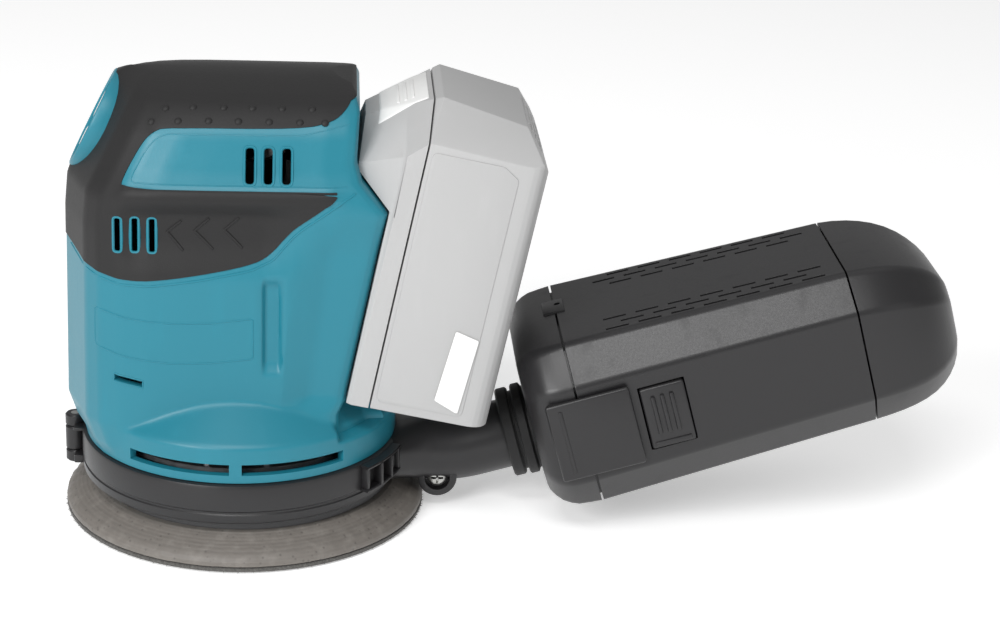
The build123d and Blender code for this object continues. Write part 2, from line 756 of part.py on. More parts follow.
with BuildPart() as pad_foam:
    with BuildSketch(pad_plane.offset(foam_bottom)):
        Circle(pad_radius)
    with BuildSketch(pad_plane.offset(backing_bottom)):
        Circle(pad_top_radius)
    loft()
    add(pad_hole_tool.part, mode=Mode.SUBTRACT)
pad_foam.part.label = "pad_foam"
export_step(pad_foam.part, "parts/pad_foam.step")

with BuildPart() as backing_plate:
    disc(backing_radius, backing_bottom, pad_top, centre_x=orbit_offset)
    add(pad_hole_tool.part, mode=Mode.SUBTRACT)
backing_plate.part.label = "backing_plate"
export_step(backing_plate.part, "parts/backing_plate.step")

with BuildPart() as pad_screws:
    with BuildSketch(pad_plane.offset(backing_bottom - pad_screw_head_height)):
        with PolarLocations(pad_screw_circle, pad_screw_count, start_angle=45):
            Circle(pad_screw_head_radius)
    extrude(amount=pad_screw_head_height)
    with BuildSketch(pad_plane.offset(backing_bottom)):
        with PolarLocations(pad_screw_circle, pad_screw_count, start_angle=45):
            Circle(pad_screw_radius)
    extrude(amount=flange_top - backing_bottom)
pad_screws.part.label = "pad_screws"
export_step(pad_screws.part, "parts/pad_screws.step")

# ================================================================ fan base, clamp ring, nozzle
with BuildPart() as pad_sweep:
    with BuildSketch(Plane.XZ):
        with BuildLine():
            reach = orbit_offset + pad_sweep_gap
            Polyline(
                (0, -1), (pad_radius + reach, -1), (pad_radius + reach, foam_bottom + 0.8),
                (pad_top_radius + reach, backing_bottom + 0.8), (pad_top_radius + reach, base_bottom),
                (0, base_bottom), close=True,
            )
        make_face()
    revolve(axis=Axis.Z)

with BuildPart() as fan_base:
    disc(base_radius, base_bottom, rim_bottom)
    disc(base_radius - base_wall, base_bottom, rim_bottom, mode=Mode.SUBTRACT)
    slab(Plane.XY, (30, 60), (-nozzle_root_half_width + 4, nozzle_root_half_width - 4),
         (ring_bottom + 1.5, ring_top - 1.5), mode=Mode.SUBTRACT)
fan_base.part.label = "fan_base"
export_step(fan_base.part, "parts/fan_base.step")

with BuildPart() as pad_brake_ring:
    disc(base_radius - base_wall, base_bottom, base_bottom + 1.6)
    disc(base_radius - base_wall - 4.0, base_bottom, base_bottom + 1.6, mode=Mode.SUBTRACT)
pad_brake_ring.part.label = "pad_brake_ring"
export_step(pad_brake_ring.part, "parts/pad_brake_ring.step")

ring_bore = base_radius + assembly_gap


def nozzle_body(inset):
    """Dust duct from the ring to the box: a flared root, an elbow and a straight spout."""
    root_height = ring_top - ring_bottom - 1.0
    with BuildPart() as duct:
        root_middle = (ring_top + ring_bottom) / 2
        with BuildSketch(Plane((nozzle_root_x, 0, root_middle), x_dir=(0, 1, 0), z_dir=(1, 0, 0))):
            RectangleRounded(2 * (nozzle_root_half_width - inset), root_height - 2 * inset, 4.0 - inset)
        with BuildSketch(Plane((root_end_x, 0, elbow_z), x_dir=(0, 1, 0), z_dir=(1, 0, 0))):
            Circle(nozzle_radius - inset)
        loft()
        with BuildLine() as path:
            spout_end = nozzle_origin + box_axis * nozzle_end
            FilletPolyline(
                (root_end_x, 0, elbow_z), (elbow_x, 0, elbow_z),
                (spout_end.X, 0, spout_end.Z), radius=elbow_radius,
            )
        with BuildSketch(Plane((root_end_x, 0, elbow_z), x_dir=(0, 1, 0), z_dir=(1, 0, 0))):
            Circle(nozzle_radius - inset)
        sweep(path=path.wires()[0])
    return duct.part


with BuildPart() as ring_whole:
    disc(ring_radius, ring_bottom, ring_top)
    fillet(ring_whole.edges().filter_by(GeomType.CIRCLE), ring_edge)
    add(nozzle_body(0.0))
    with BuildSketch(Plane.XZ):
        with Locations((lug_x, lug_z)):
            Circle(lug_radius)
    extrude(amount=lug_half_length, both=True)
    disc(ring_bore, ring_bottom - 2, ring_top + 2, mode=Mode.SUBTRACT)
    add(nozzle_body(nozzle_wall), mode=Mode.SUBTRACT)
    with BuildSketch(Plane.XZ):
        with Locations((lug_x, lug_z)):
            Circle(clamp_screw_radius)
    extrude(amount=2 * lug_half_length, both=True, mode=Mode.SUBTRACT)
    with BuildSketch(Plane.XZ.offset(lug_half_length - clamp_head_height)):
        with Locations((lug_x, lug_z)):
            Circle(clamp_head_radius + 0.5)
    extrude(amount=10, mode=Mode.SUBTRACT)
    with BuildSketch(Plane.XZ.offset(-lug_half_length + nut_thickness)):
        with Locations((lug_x, lug_z)):
            RegularPolygon(nut_width / 2 + assembly_gap, 6, major_radius=False)
    extrude(amount=-10, mode=Mode.SUBTRACT)
    add(pad_sweep.part, mode=Mode.SUBTRACT)

# hinge knuckles: the left half has the end ones, the right half the middle one
knuckle_joints = (hinge_bottom + hinge_knuckle, hinge_top - hinge_knuckle)
knuckle_gap = 0.2
for name, side, spans in (
    ("nozzle_ring_left", Keep.TOP, ((hinge_bottom, knuckle_joints[0]), (knuckle_joints[1], hinge_top))),
    ("nozzle_ring_right", Keep.BOTTOM, ((knuckle_joints[0] + knuckle_gap, knuckle_joints[1] - knuckle_gap),)),
):
    with BuildPart() as ring_half:
        add(ring_whole.part)
        split(bisect_by=Plane.XZ, keep=side)
        disc(hinge_radius + knuckle_gap, hinge_bottom - 1, hinge_top + 1, centre_x=hinge_x, mode=Mode.SUBTRACT)
        sign = -1 if side == Keep.TOP else 1
        for bottom, top in spans:
            disc(hinge_radius, bottom, top, centre_x=hinge_x)
            if top > ring_bottom + 1 and bottom < ring_top - 1:
                web_span = (max(bottom, ring_bottom + 0.5), min(top, ring_top - 0.5))
                web_side = sorted((sign * 0.6, sign * 7.0))
                slab(Plane.XY, (hinge_x, -ring_radius * 0.965), web_side, web_span)
        disc(ring_bore, ring_bottom - 2, rim_bottom, mode=Mode.SUBTRACT)
        disc(hinge_pin_radius, hinge_bottom - 1, hinge_top + 1, centre_x=hinge_x, mode=Mode.SUBTRACT)
        disc(max(rim_radius + 1.9, -side_outline[1][0] - 0.8), rim_bottom - 0.1, rim_top, mode=Mode.SUBTRACT)
    ring_half.part.label = name
    export_step(ring_half.part, f"parts/{name}.step")

with BuildPart() as ring_hinge_pin:
    disc(hinge_pin_radius, hinge_bottom, hinge_top, centre_x=hinge_x)
ring_hinge_pin.part.label = "ring_hinge_pin"
export_step(ring_hinge_pin.part, "parts/ring_hinge_pin.step")

with BuildPart() as ring_clamp_screw:
    with BuildSketch(Plane.XZ.offset(lug_half_length - clamp_head_height)):
        with Locations((lug_x, lug_z)):
            Circle(clamp_screw_radius)
    extrude(amount=-2 * lug_half_length + clamp_head_height)
    with BuildSketch(Plane.XZ.offset(lug_half_length - clamp_head_height)):
        with Locations((lug_x, lug_z)):
            Circle(clamp_head_radius)
    extrude(amount=clamp_head_height)
    with BuildSketch(Plane.XZ.offset(lug_half_length - 1.2)):
        with Locations((lug_x, lug_z)):
            Rectangle(4.0, 0.9)
            Rectangle(0.9, 4.0)
    extrude(amount=2, mode=Mode.SUBTRACT)
ring_clamp_screw.part.label = "ring_clamp_screw"
export_step(ring_clamp_screw.part, "parts/ring_clamp_screw.step")

with BuildPart() as ring_clamp_nut:
    with BuildSketch(Plane.XZ.offset(-lug_half_length)):
        with Locations((lug_x, lug_z)):
            RegularPolygon(nut_width / 2, 6, major_radius=False)
            Circle(clamp_screw_radius, mode=Mode.SUBTRACT)
    extrude(amount=nut_thickness)
ring_clamp_nut.part.label = "ring_clamp_nut"
export_step(ring_clamp_nut.part, "parts/ring_clamp_nut.step")

# ================================================================ dust box
def box_section(scale, inset):
    """Eight-sided section of the dust box; call inside a BuildSketch."""
    corners = [
        (box_half_top, box_half_height), (box_half_width, box_upper_chamfer),
        (box_half_width, -box_lower_chamfer), (box_half_top, -box_half_height),
        (-box_half_top, -box_half_height), (-box_half_width, -box_lower_chamfer),
        (-box_half_width, box_upper_chamfer), (-box_half_top, box_half_height),
    ]
    with BuildLine() as outline:
        Polyline(*[(x * scale, y * scale) for x, y in corners], close=True)
    face = make_face(outline.edges())
    fillet(face.vertices(), box_corner * scale)
    if inset:
        offset(amount=-inset, kind=Kind.INTERSECTION, mode=Mode.REPLACE)


def box_scale(s):
    """Section scale of the box's straight part at a distance s behind the seam."""
    return 1 - (1 - box_taper) * s / box_length


with BuildPart() as dust_box_shell:
    for inset, mode in ((0.0, Mode.ADD), (box_wall, Mode.SUBTRACT)):
        with BuildSketch(box_seam.offset(0)):
            box_section(1.0, inset)
        with BuildSketch(box_seam.offset(box_length)):
            box_section(box_taper, inset)
        loft(ruled=True, mode=mode)
    # louvres in the top wall
    louvre_step = filter_length / louvre_columns
    for row in range(louvre_rows):
        for column in range(louvre_columns):
            s = filter_start + 6 + louvre_step * column + (row % 2) * louvre_step / 2
            y = (row - (louvre_rows - 1) / 2) * louvre_row_pitch
            slab(box_seam, (y - louvre_size[1] / 2, y + louvre_size[1] / 2), (box_half_height - 8, box_half_height + 3),
                 (s, s + louvre_size[0] * 0.8), mode=Mode.SUBTRACT)
    # windows in the side walls for the latch buttons
    slab(box_seam, (-box_half_width - 5, box_half_width + 5),
         (-latch_half_height - loose_gap, latch_half_height + loose_gap),
         (latch_start - loose_gap, latch_start + latch_length + loose_gap), mode=Mode.SUBTRACT)
dust_box_shell.part.label = "dust_box_shell"
export_step(dust_box_shell.part, "parts/dust_box_shell.step")

end_stations = ((0.0, box_taper), (14.0, 0.865), (26.0, 0.73), (33.0, 0.56), (end_length, 0.38))
with BuildPart() as dust_box_end:
    for s, scale in end_stations:
        with BuildSketch(box_seam.offset(box_length + s)):
            box_section(scale, 0.0)
    loft()
    for s, scale in end_stations:
        with BuildSketch(box_seam.offset(box_length + s * 0.93)):
            box_section(scale * 0.93, 0.0)
    loft(mode=Mode.SUBTRACT)
dust_box_end.part.label = "dust_box_end"
export_step(dust_box_end.part, "parts/dust_box_end.step")

with BuildPart() as dust_filter:
    filter_top = (box_half_height - box_wall / box_scale(box_length)) * box_taper - 0.2
    slab(box_seam, (-filter_half_width, filter_half_width), (filter_top - filter_thickness, filter_top),
         (filter_start, filter_start + filter_length))
dust_filter.part.label = "dust_filter"
export_step(dust_filter.part, "parts/dust_filter.step")

for name, side in (("dust_latch_left", -1), ("dust_latch_right", 1)):
    with BuildPart() as dust_latch:
        outer_face = box_half_width * box_scale(latch_start) + latch_proud
        slab(box_seam, sorted((side * (outer_face - latch_thickness - latch_proud), side * outer_face)),
             (-latch_half_height, latch_half_height), (latch_start, latch_start + latch_length))
        for rib in range(3):
            rib_s = latch_start + 4.5 + 3.0 * rib
            slab(box_seam, sorted((side * (outer_face - 0.1), side * (outer_face + 0.8))),
                 (-6.5, 6.5), (rib_s, rib_s + 1.2))
    dust_latch.part.label = name
    export_step(dust_latch.part, f"parts/{name}.step")

with BuildPart() as dust_cap:
    with BuildSketch(box_seam.offset(-cap_depth)):
        box_section(0.80, 0.0)
    with BuildSketch(box_seam.offset(-cap_depth + 4)):
        box_section(0.93, 0.0)
    with BuildSketch(box_seam.offset(-cap_depth + 9)):
        box_section(0.99, 0.0)
    with BuildSketch(box_seam):
        box_section(1.0, 0.0)
    loft()
    with BuildSketch(box_seam.offset(-cap_depth + 2.2)):
        box_section(0.74, 0.0)
    with BuildSketch(box_seam.offset(-cap_depth + 7)):
        box_section(0.90, 0.0)
    with BuildSketch(box_seam):
        box_section(0.93, 0.0)
    loft(mode=Mode.SUBTRACT)
    # lip that enters the box
    with BuildSketch(box_seam.offset(-1.5)):
        box_section(1.0, box_wall + slip_gap)
    extrude(amount=lip_length + 1.5)
    with BuildSketch(box_seam.offset(-3)):
        box_section(1.0, box_wall + slip_gap + lip_wall)
    extrude(amount=lip_length + 6, mode=Mode.SUBTRACT)
    # side tongues over the box
    for side in (-1, 1):
        inner = box_half_width + tongue_gap
        slab(box_seam, sorted((side * inner, side * (inner + tongue_thickness))),
             (-tongue_half_height, tongue_half_height), (-tongue_back, tongue_length))
        slab(box_seam, sorted((side * (inner - 3.0), side * (inner + 0.2))),
             (-tongue_half_height, tongue_half_height), (-tongue_back, -1.0))
    # socket for the spout
    with BuildSketch(nozzle_seam.offset(-cap_depth - 2)):
        Circle(collar_radius - 1.4)
    extrude(amount=8)
    with BuildSketch(nozzle_seam.offset(-cap_depth - 4)):
        Circle(nozzle_radius + collar_gap)
    extrude(amount=cap_depth + 4, mode=Mode.SUBTRACT)
dust_cap.part.label = "dust_cap"
export_step(dust_cap.part, "parts/dust_cap.step")

with BuildPart() as nozzle_collar:
    with BuildSketch(nozzle_seam.offset(collar_front)):
        Circle(collar_radius)
    extrude(amount=collar_flange)
    with BuildSketch(nozzle_seam.offset(collar_front + collar_flange)):
        Circle(collar_radius - 1.6)
    extrude(amount=1.2)
    with BuildSketch(nozzle_seam.offset(collar_front + collar_flange + 1.2)):
        Circle(collar_radius + 0.4)
    extrude(amount=-cap_depth - 2 - (collar_front + collar_flange + 1.2))
    with BuildSketch(nozzle_seam.offset(collar_front - 1)):
        Circle(nozzle_radius + collar_gap)
    extrude(amount=30, mode=Mode.SUBTRACT)
nozzle_collar.part.label = "nozzle_collar"
export_step(nozzle_collar.part, "parts/nozzle_collar.step")

# ================================================================ battery
battery_side_outline = [
    (loose_gap, 0), (battery_depth, 0), (battery_depth, battery_length - 17.0),
    (battery_depth - 9.0, battery_length - 4.0), (10.6, battery_length),
    (-rail_depth, battery_length - 6.5), (-rail_depth, rail_top), (loose_gap, rail_top),
]
battery_face_outline = [
    (battery_half_width, -1), (battery_half_width, battery_length - 14.0),
    (24.0, battery_length - 2.5), (22.0, battery_length + 2),
]


def battery_body(inset):
    """Closed outer form of the battery pack, or the same form moved inwards by inset."""
    with BuildPart() as body:
        with BuildSketch(battery_side) as side:
            with BuildLine():
                Polyline(*battery_side_outline, close=True)
            make_face()
            if inset:
                offset(amount=-inset, kind=Kind.INTERSECTION, mode=Mode.REPLACE)
        extrude(amount=battery_half_width + 5, both=True)
        with BuildSketch(battery_plan.offset(-5)) as plan:
            with Locations(((battery_depth - rail_depth) / 2, 0)):
                Rectangle(battery_depth + rail_depth - 2 * inset, 2 * (battery_half_width - inset))
            rear_corners = plan.vertices().sort_by(Axis.X)[2:]
            fillet(rear_corners, battery_rear_corner - inset)
        extrude(amount=battery_length + 20, mode=Mode.INTERSECT)
        with BuildSketch(battery_face):
            with BuildLine():
                half = Polyline(*battery_face_outline)
                mirror(half, about=Plane.YZ)
                Line(half @ 1, (-(half @ 1).X, (half @ 1).Y))
                Line(half @ 0, (-(half @ 0).X, (half @ 0).Y))
            make_face()
            if inset:
                offset(amount=-inset, kind=Kind.INTERSECTION, mode=Mode.REPLACE)
        extrude(amount=100, both=True, mode=Mode.INTERSECT)
    return body.part


battery_outer = battery_body(0.0)
battery_cavity = battery_body(battery_wall)

with BuildPart() as battery_case:
    add(battery_outer)
    slab(battery_plan, (-50, battery_seam), (-60, 60), (-10, 150), mode=Mode.SUBTRACT)
    add(battery_cavity, mode=Mode.SUBTRACT)
battery_case.part.label = "battery_case"
export_step(battery_case.part, "parts/battery_case.step")

with BuildPart() as head_trim:
    for side in (-1, 1):
        slab(battery_plan, (-rail_depth - 1, loose_gap), sorted((side * head_half_width, side * 60)), (-5, 150))

with BuildPart() as battery_cover:
    add(battery_outer)
    slab(battery_plan, (battery_seam, 100), (-60, 60), (-10, 150), mode=Mode.SUBTRACT)
    add(head_trim.part, mode=Mode.SUBTRACT)
    # rail block: a stem with lips that run behind the tool's rails
    slab(battery_plan, (-rail_depth, loose_gap), (-rail_stem_half, rail_stem_half), (1.2, rail_top))
    slab(battery_plan, (-rail_depth, -rail_depth + rail_lip_thickness), (-rail_lip_half, rail_lip_half),
         (1.2, rail_top))
    # hollow towards the cells
    slab(battery_plan, (2.4, battery_seam), (-battery_half_width + battery_wall, battery_half_width - battery_wall),
         (battery_wall, battery_length - 19.0), mode=Mode.SUBTRACT)
    for side in (-1, 1):
        y = side * contact_offset
        slab(battery_plan, (-rail_depth - 1, -4), (y - contact_slot / 2, y + contact_slot / 2),
             (0, contact_slot_top), mode=Mode.SUBTRACT)
    # well for the release button
    slab(battery_plan, (button_depth[0] - loose_gap, button_depth[1] + loose_gap),
         (-button_half_width - loose_gap, button_half_width + loose_gap),
         (button_bottom - button_travel - 0.6, 150), mode=Mode.SUBTRACT)
battery_cover.part.label = "battery_cover"
export_step(battery_cover.part, "parts/battery_cover.step")

with BuildPart() as battery_cells:
    with BuildSketch(battery_side):
        for row in range(cell_rows):
            b = battery_wall + 0.3 + cell_radius + row * cell_pitch
            with Locations((battery_seam + 0.9 + cell_radius, b), (battery_seam + 0.9 + cell_radius + cell_pitch, b)):
                Circle(cell_radius)
    extrude(amount=cell_length / 2, both=True)
battery_cells.part.label = "battery_cells"
export_step(battery_cells.part, "parts/battery_cells.step")

with BuildPart() as battery_board:
    slab(battery_plan, (4.0, 5.6), (-25, 25), (8, battery_length - 23.0))
battery_board.part.label = "battery_board"
export_step(battery_board.part, "parts/battery_board.step")

with BuildPart() as battery_contacts:
    for side in (-1, 1):
        for half in (-1, 1):
            y = side * contact_offset + half * (contact_slot / 2 - leaf_thickness / 2)
            slab(battery_plan, (-11, -4), (y - leaf_thickness / 2, y + leaf_thickness / 2), (20, 44))
battery_contacts.part.label = "battery_contacts"
export_step(battery_contacts.part, "parts/battery_contacts.step")

with BuildPart() as release_button:
    add(battery_outer)
    slab(battery_plan, (-50, button_depth[0]), (-60, 60), (-10, 150), mode=Mode.SUBTRACT)
    slab(battery_plan, (button_depth[1], 100), (-60, 60), (-10, 150), mode=Mode.SUBTRACT)
    slab(battery_plan, (-50, 100), (-60, -button_half_width), (-10, 150), mode=Mode.SUBTRACT)
    slab(battery_plan, (-50, 100), (button_half_width, 60), (-10, 150), mode=Mode.SUBTRACT)
    slab(battery_plan, (-50, 100), (-60, 60), (-10, button_bottom), mode=Mode.SUBTRACT)
release_button.part.label = "release_button"
export_step(release_button.part, "parts/release_button.step")

with BuildPart() as release_spring:
    spring_base = battery_plan.offset(button_bottom - button_travel - 0.1)
    with BuildLine(spring_base) as coil:
        Helix(pitch=1.1, height=3.3, radius=3.0)
    with BuildSketch(Plane(origin=coil.wires()[0] @ 0, z_dir=coil.wires()[0] % 0)):
        Circle(0.35)
    sweep(path=coil.wires()[0])
release_spring.part.label = "release_spring"
export_step(release_spring.part, "parts/release_spring.step")

# ================================================================ tool terminals
with BuildPart() as terminal_block:
    slab(battery_plan, (-rail_depth - socket_floor_gap - socket_wall, -rail_depth - socket_floor_gap),
         (-terminal_half_width + assembly_gap, terminal_half_width - assembly_gap),
         (terminal_span[0] + assembly_gap, terminal_span[1] - assembly_gap))
    for side in (-1, 1):
        y = side * contact_offset
        slab(battery_plan, (-rail_depth - 10, 0), (y - blade_thickness / 2, y + blade_thickness / 2),
             blade_span, mode=Mode.SUBTRACT)
terminal_block.part.label = "terminal_block"
export_step(terminal_block.part, "parts/terminal_block.step")

with BuildPart() as tool_terminals:
    for side in (-1, 1):
        y = side * contact_offset
        slab(battery_plan, (-rail_depth - socket_floor_gap - socket_wall, -6.0),
             (y - blade_thickness / 2, y + blade_thickness / 2), blade_span)
tool_terminals.part.label = "tool_terminals"
export_step(tool_terminals.part, "parts/tool_terminals.step")
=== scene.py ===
"""Looks of a cordless random-orbit sander with a battery pack and a dust box.

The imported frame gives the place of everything: X runs to the rear, Z up, and the left side
is -Y. Shapes are worked out in millimetres in that frame and scaled once, as each is finished.
"""
import json
from math import atan2, cos, degrees, hypot, pi, radians, sin, tan

import bmesh
import bpy
from bpy.props import FloatProperty, FloatVectorProperty, PointerProperty
from mathutils import Matrix, Vector
from mathutils.bvhtree import BVHTree


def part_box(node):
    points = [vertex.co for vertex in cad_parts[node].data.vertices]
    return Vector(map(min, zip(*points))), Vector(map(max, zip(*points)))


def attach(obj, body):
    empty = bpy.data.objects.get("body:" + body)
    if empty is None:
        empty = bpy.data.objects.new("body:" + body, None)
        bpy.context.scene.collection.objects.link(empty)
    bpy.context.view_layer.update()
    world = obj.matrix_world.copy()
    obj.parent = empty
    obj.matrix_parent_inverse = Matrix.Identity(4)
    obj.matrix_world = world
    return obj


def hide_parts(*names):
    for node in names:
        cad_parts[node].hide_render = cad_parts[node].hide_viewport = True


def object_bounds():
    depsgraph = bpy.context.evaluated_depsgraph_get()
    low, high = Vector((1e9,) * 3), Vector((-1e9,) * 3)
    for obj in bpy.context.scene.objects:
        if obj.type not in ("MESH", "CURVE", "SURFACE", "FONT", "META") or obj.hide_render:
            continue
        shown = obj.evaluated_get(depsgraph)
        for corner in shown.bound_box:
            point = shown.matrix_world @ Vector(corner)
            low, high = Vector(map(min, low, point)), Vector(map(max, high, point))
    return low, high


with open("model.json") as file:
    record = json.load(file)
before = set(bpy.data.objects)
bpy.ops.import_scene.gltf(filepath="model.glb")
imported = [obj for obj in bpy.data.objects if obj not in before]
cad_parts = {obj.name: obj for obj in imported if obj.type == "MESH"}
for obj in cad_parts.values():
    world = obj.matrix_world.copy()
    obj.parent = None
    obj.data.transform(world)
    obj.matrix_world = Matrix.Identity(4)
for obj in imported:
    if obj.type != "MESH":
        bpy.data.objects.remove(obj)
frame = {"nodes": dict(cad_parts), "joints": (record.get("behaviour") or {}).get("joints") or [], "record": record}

bl_info = {
    "name": "Orbital sander",
    "version": (1, 0, 0),
    "blender": (4, 5, 0),
    "location": "View3D > Sidebar > Sander",
    "description": "Builds the visible pieces of a cordless orbital sander on its frame",
    "category": "Add Mesh",
}

MM = 0.001
CRISP_ANGLE = 35                                        # degrees between faces that meet in a hard edge
cad_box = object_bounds()
joints = {joint["name"]: joint for joint in frame["joints"]}


# ================================================================ places
def low(node):
    """Lowest corner of a CAD node, in millimetres."""
    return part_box(node)[0] / MM


def high(node):
    """Highest corner of a CAD node, in millimetres."""
    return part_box(node)[1] / MM


class Place:
    """A local frame; point(a, b, c) is the row-frame point at those lengths along its axes."""

    def __init__(self, origin, x_dir, y_dir):
        self.origin = Vector(origin)
        self.x_dir = Vector(x_dir).normalized()
        self.y_dir = Vector(y_dir).normalized()
        self.normal = self.x_dir.cross(self.y_dir)

    def point(self, a, b, c=0.0):
        return self.origin + self.x_dir * a + self.y_dir * b + self.normal * c

    def local(self, p):
        d = p - self.origin
        return d.dot(self.x_dir), d.dot(self.y_dir), d.dot(self.normal)

    def moved(self, a=0.0, b=0.0, c=0.0):
        return Place(self.point(a, b, c), self.x_dir, self.y_dir)


X, Y, Z = Vector((1, 0, 0)), Vector((0, 1, 0)), Vector((0, 0, 1))
upright = Place((0, 0, 0), X, Y)
left_side = Place((0, 0, 0), X, Z)                      # its normal is -Y

battery_up = Vector(joints["battery_slide"]["axis"]).normalized()
battery_out = Y.cross(battery_up)
battery_foot = Vector((35.2, 0.0, 50.0))
pack = Place(battery_foot, battery_out, Y)              # a outwards, b across, c up the pack
pack_side = Place(battery_foot, battery_out, battery_up)   # a outwards, b up, c to the left
bay = Place(battery_foot, Y, battery_up)                # a across, b up, c into the tool when negative

box_axis = Vector(joints["dust_box_slide"]["axis"]).normalized()
box_lift = box_axis.cross(Y)
box_centre = Vector((115.1, 0.0, 40.3))
box = Place(box_centre, Y, box_lift)                    # a across, b up, c along the box
NECK_DROP = 8.8
neck = Place(box_centre - box_lift * NECK_DROP, Y, box_lift)

press_axis = Vector(joints["power_press"]["axis"]).normalized()
panel_out = -press_axis
panel = Place((-48.2, 0.0, 135.5), -Y, panel_out.cross(-Y))   # a to the left, b up the slope

BODY_TOP = high("grip_overmold").z
ORBIT = (low("pad_foam").x + high("pad_foam").x) / 2
PAD_RADIUS = (high("pad_foam").x - low("pad_foam").x) / 2
RING_LOW, RING_HIGH = 13.7, 27.7


# ================================================================ lines and numbers
def along(knots, t):
    """Value at t on straight runs through (t, value) knots."""
    if t <= knots[0][0]:
        return knots[0][1]
    for (t0, v0), (t1, v1) in zip(knots, knots[1:]):
        if t <= t1:
            return v0 + (v1 - v0) * (t - t0) / (t1 - t0)
    return knots[-1][1]


def ease(t):
    """0 below 0, 1 above 1 and a smooth step between."""
    t = min(max(t, 0.0), 1.0)
    return t * t * (3 - 2 * t)


def nearer(a, b, blend):
    """The smaller of two lengths, rounded where they cross."""
    share = max(blend - abs(a - b), 0.0) / blend
    return min(a, b) - share * share * blend / 4


def farther(a, b, blend):
    return -nearer(-a, -b, blend)


def spaced(knots, step):
    """Values through all the knots, no further apart than step."""
    values = [knots[0]]
    for start, end in zip(knots, knots[1:]):
        count = max(1, round(abs(end - start) / step))
        values += [start + (end - start) * (i + 1) / count for i in range(count)]
    return values


def rounded_line(points, rounds=2, closed=True):
    """A line with its corners cut again and again, which rounds them."""
    for _ in range(rounds):
        pairs = list(zip(points, points[1:] + points[:1])) if closed else list(zip(points, points[1:]))
        cut = []
        for p, q in pairs:
            cut.append(tuple(0.75 * a + 0.25 * b for a, b in zip(p, q)))
            cut.append(tuple(0.25 * a + 0.75 * b for a, b in zip(p, q)))
        points = cut if closed else [points[0]] + cut[1:-1] + [points[-1]]
    return points


def filleted(corners, radius, steps=5):
    """A closed outline with each corner turned into an arc of the radius."""
    made = []
    count = len(corners)
    for i, corner in enumerate(corners):
        here = Vector(corner)
        back = (Vector(corners[i - 1]) - here).normalized()
        ahead = (Vector(corners[(i + 1) % count]) - here).normalized()
        half = back.angle(ahead) / 2
        centre = here + (back + ahead).normalized() * radius / sin(half)
        first = here + back * radius / tan(half) - centre
        last = here + ahead * radius / tan(half) - centre
        turn = first.angle_signed(last)
        for k in range(steps + 1):
            spoke = first.copy()
            spoke.rotate(Matrix.Rotation(-turn * k / steps, 2))
            made.append(tuple(centre + spoke))
    return made


def capsule(centre, length, width):
    """Outline of an upright slot."""
    a, b = centre
    w, h = width / 2, length / 2
    return filleted([(a - w, b - h), (a + w, b - h), (a + w, b + h), (a - w, b + h)], w * 0.72)


def ellipse(half_a, half_b, count, centre=(0, 0)):
    """Outline of an ellipse round a centre."""
    return [(centre[0] + half_a * cos(2 * pi * k / count), centre[1] + half_b * sin(2 * pi * k / count))
            for k in range(count)]


def inside(outline, a, b):
    """True where a point is within a closed outline."""
    odd = False
    for (a0, b0), (a1, b1) in zip(outline, outline[1:] + outline[:1]):
        if (b0 > b) != (b1 > b) and a < a0 + (b - b0) * (a1 - a0) / (b1 - b0):
            odd = not odd
    return odd


def widened(outline, reach):
    """A closed outline moved outwards by a distance, for outlines that run either way round."""
    area = sum(a0 * b1 - a1 * b0 for (a0, b0), (a1, b1) in zip(outline, outline[1:] + outline[:1]))
    sign = 1 if area > 0 else -1
    made = []
    count = len(outline)
    for i, (a, b) in enumerate(outline):
        (a0, b0), (a1, b1) = outline[i - 1], outline[(i + 1) % count]
        da, db = a1 - a0, b1 - b0
        size = hypot(da, db) or 1.0
        made.append((a + sign * reach * db / size, b - sign * reach * da / size))
    return made


# ================================================================ shapes
def grid_on(bm, us, vs, place):
    """A grid of quads whose corners are moved to place(u, v)."""
    made = bmesh.ops.create_grid(bm, x_segments=len(us) - 1, y_segments=len(vs) - 1, size=0.5)["verts"]
    left = min(v.co.x for v in made)
    wide = max(v.co.x for v in made) - left
    foot = min(v.co.y for v in made)
    tall = max(v.co.y for v in made) - foot
    for vert in made:
        i = round((vert.co.x - left) / wide * (len(us) - 1))
        j = round((vert.co.y - foot) / tall * (len(vs) - 1))
        vert.co = place(us[i], vs[j])
    return made


def weld(bm, reach):
    """Merges points that are closer together than reach."""
    bmesh.ops.remove_doubles(bm, verts=bm.verts, dist=reach)


def face_out(bm):
    bmesh.ops.recalc_face_normals(bm, faces=bm.faces)


def slice_off(bm, point, out, **options):
    """Removes what lies beyond a plane; the cut stays open."""
    geom = list(bm.verts) + list(bm.edges) + list(bm.faces)
    bmesh.ops.bisect_plane(bm, geom=geom, plane_co=point, plane_no=out, clear_outer=True, **options)


def ring_of(bm, points):
    verts = [bm.verts.new(p) for p in points]
    return [bm.edges.new((verts[i - 1], verts[i])) for i in range(len(verts))]


def skin(bm, loops, caps=(True, True)):
    """A wall through closed loops of equal count, with its ends filled where caps say so."""
    rings = [ring_of(bm, loop) for loop in loops]
    for lower, upper in zip(rings, rings[1:]):
        bmesh.ops.bridge_loops(bm, edges=lower + upper)
    for cap, ring in zip(caps, (rings[0], rings[-1])):
        if cap:
            bmesh.ops.contextual_create(bm, geom=ring)


def soften(bm, edges, reach, segments=2):
    bmesh.ops.bevel(bm, geom=list(edges), offset=reach, offset_type="OFFSET", segments=segments,
                    profile=0.5, affect="EDGES", clamp_overlap=True, material=-1)


def sharp_edges(edges, least=30):
    return [e for e in edges if len(e.link_faces) == 2 and e.calc_face_angle(0) > radians(least)]


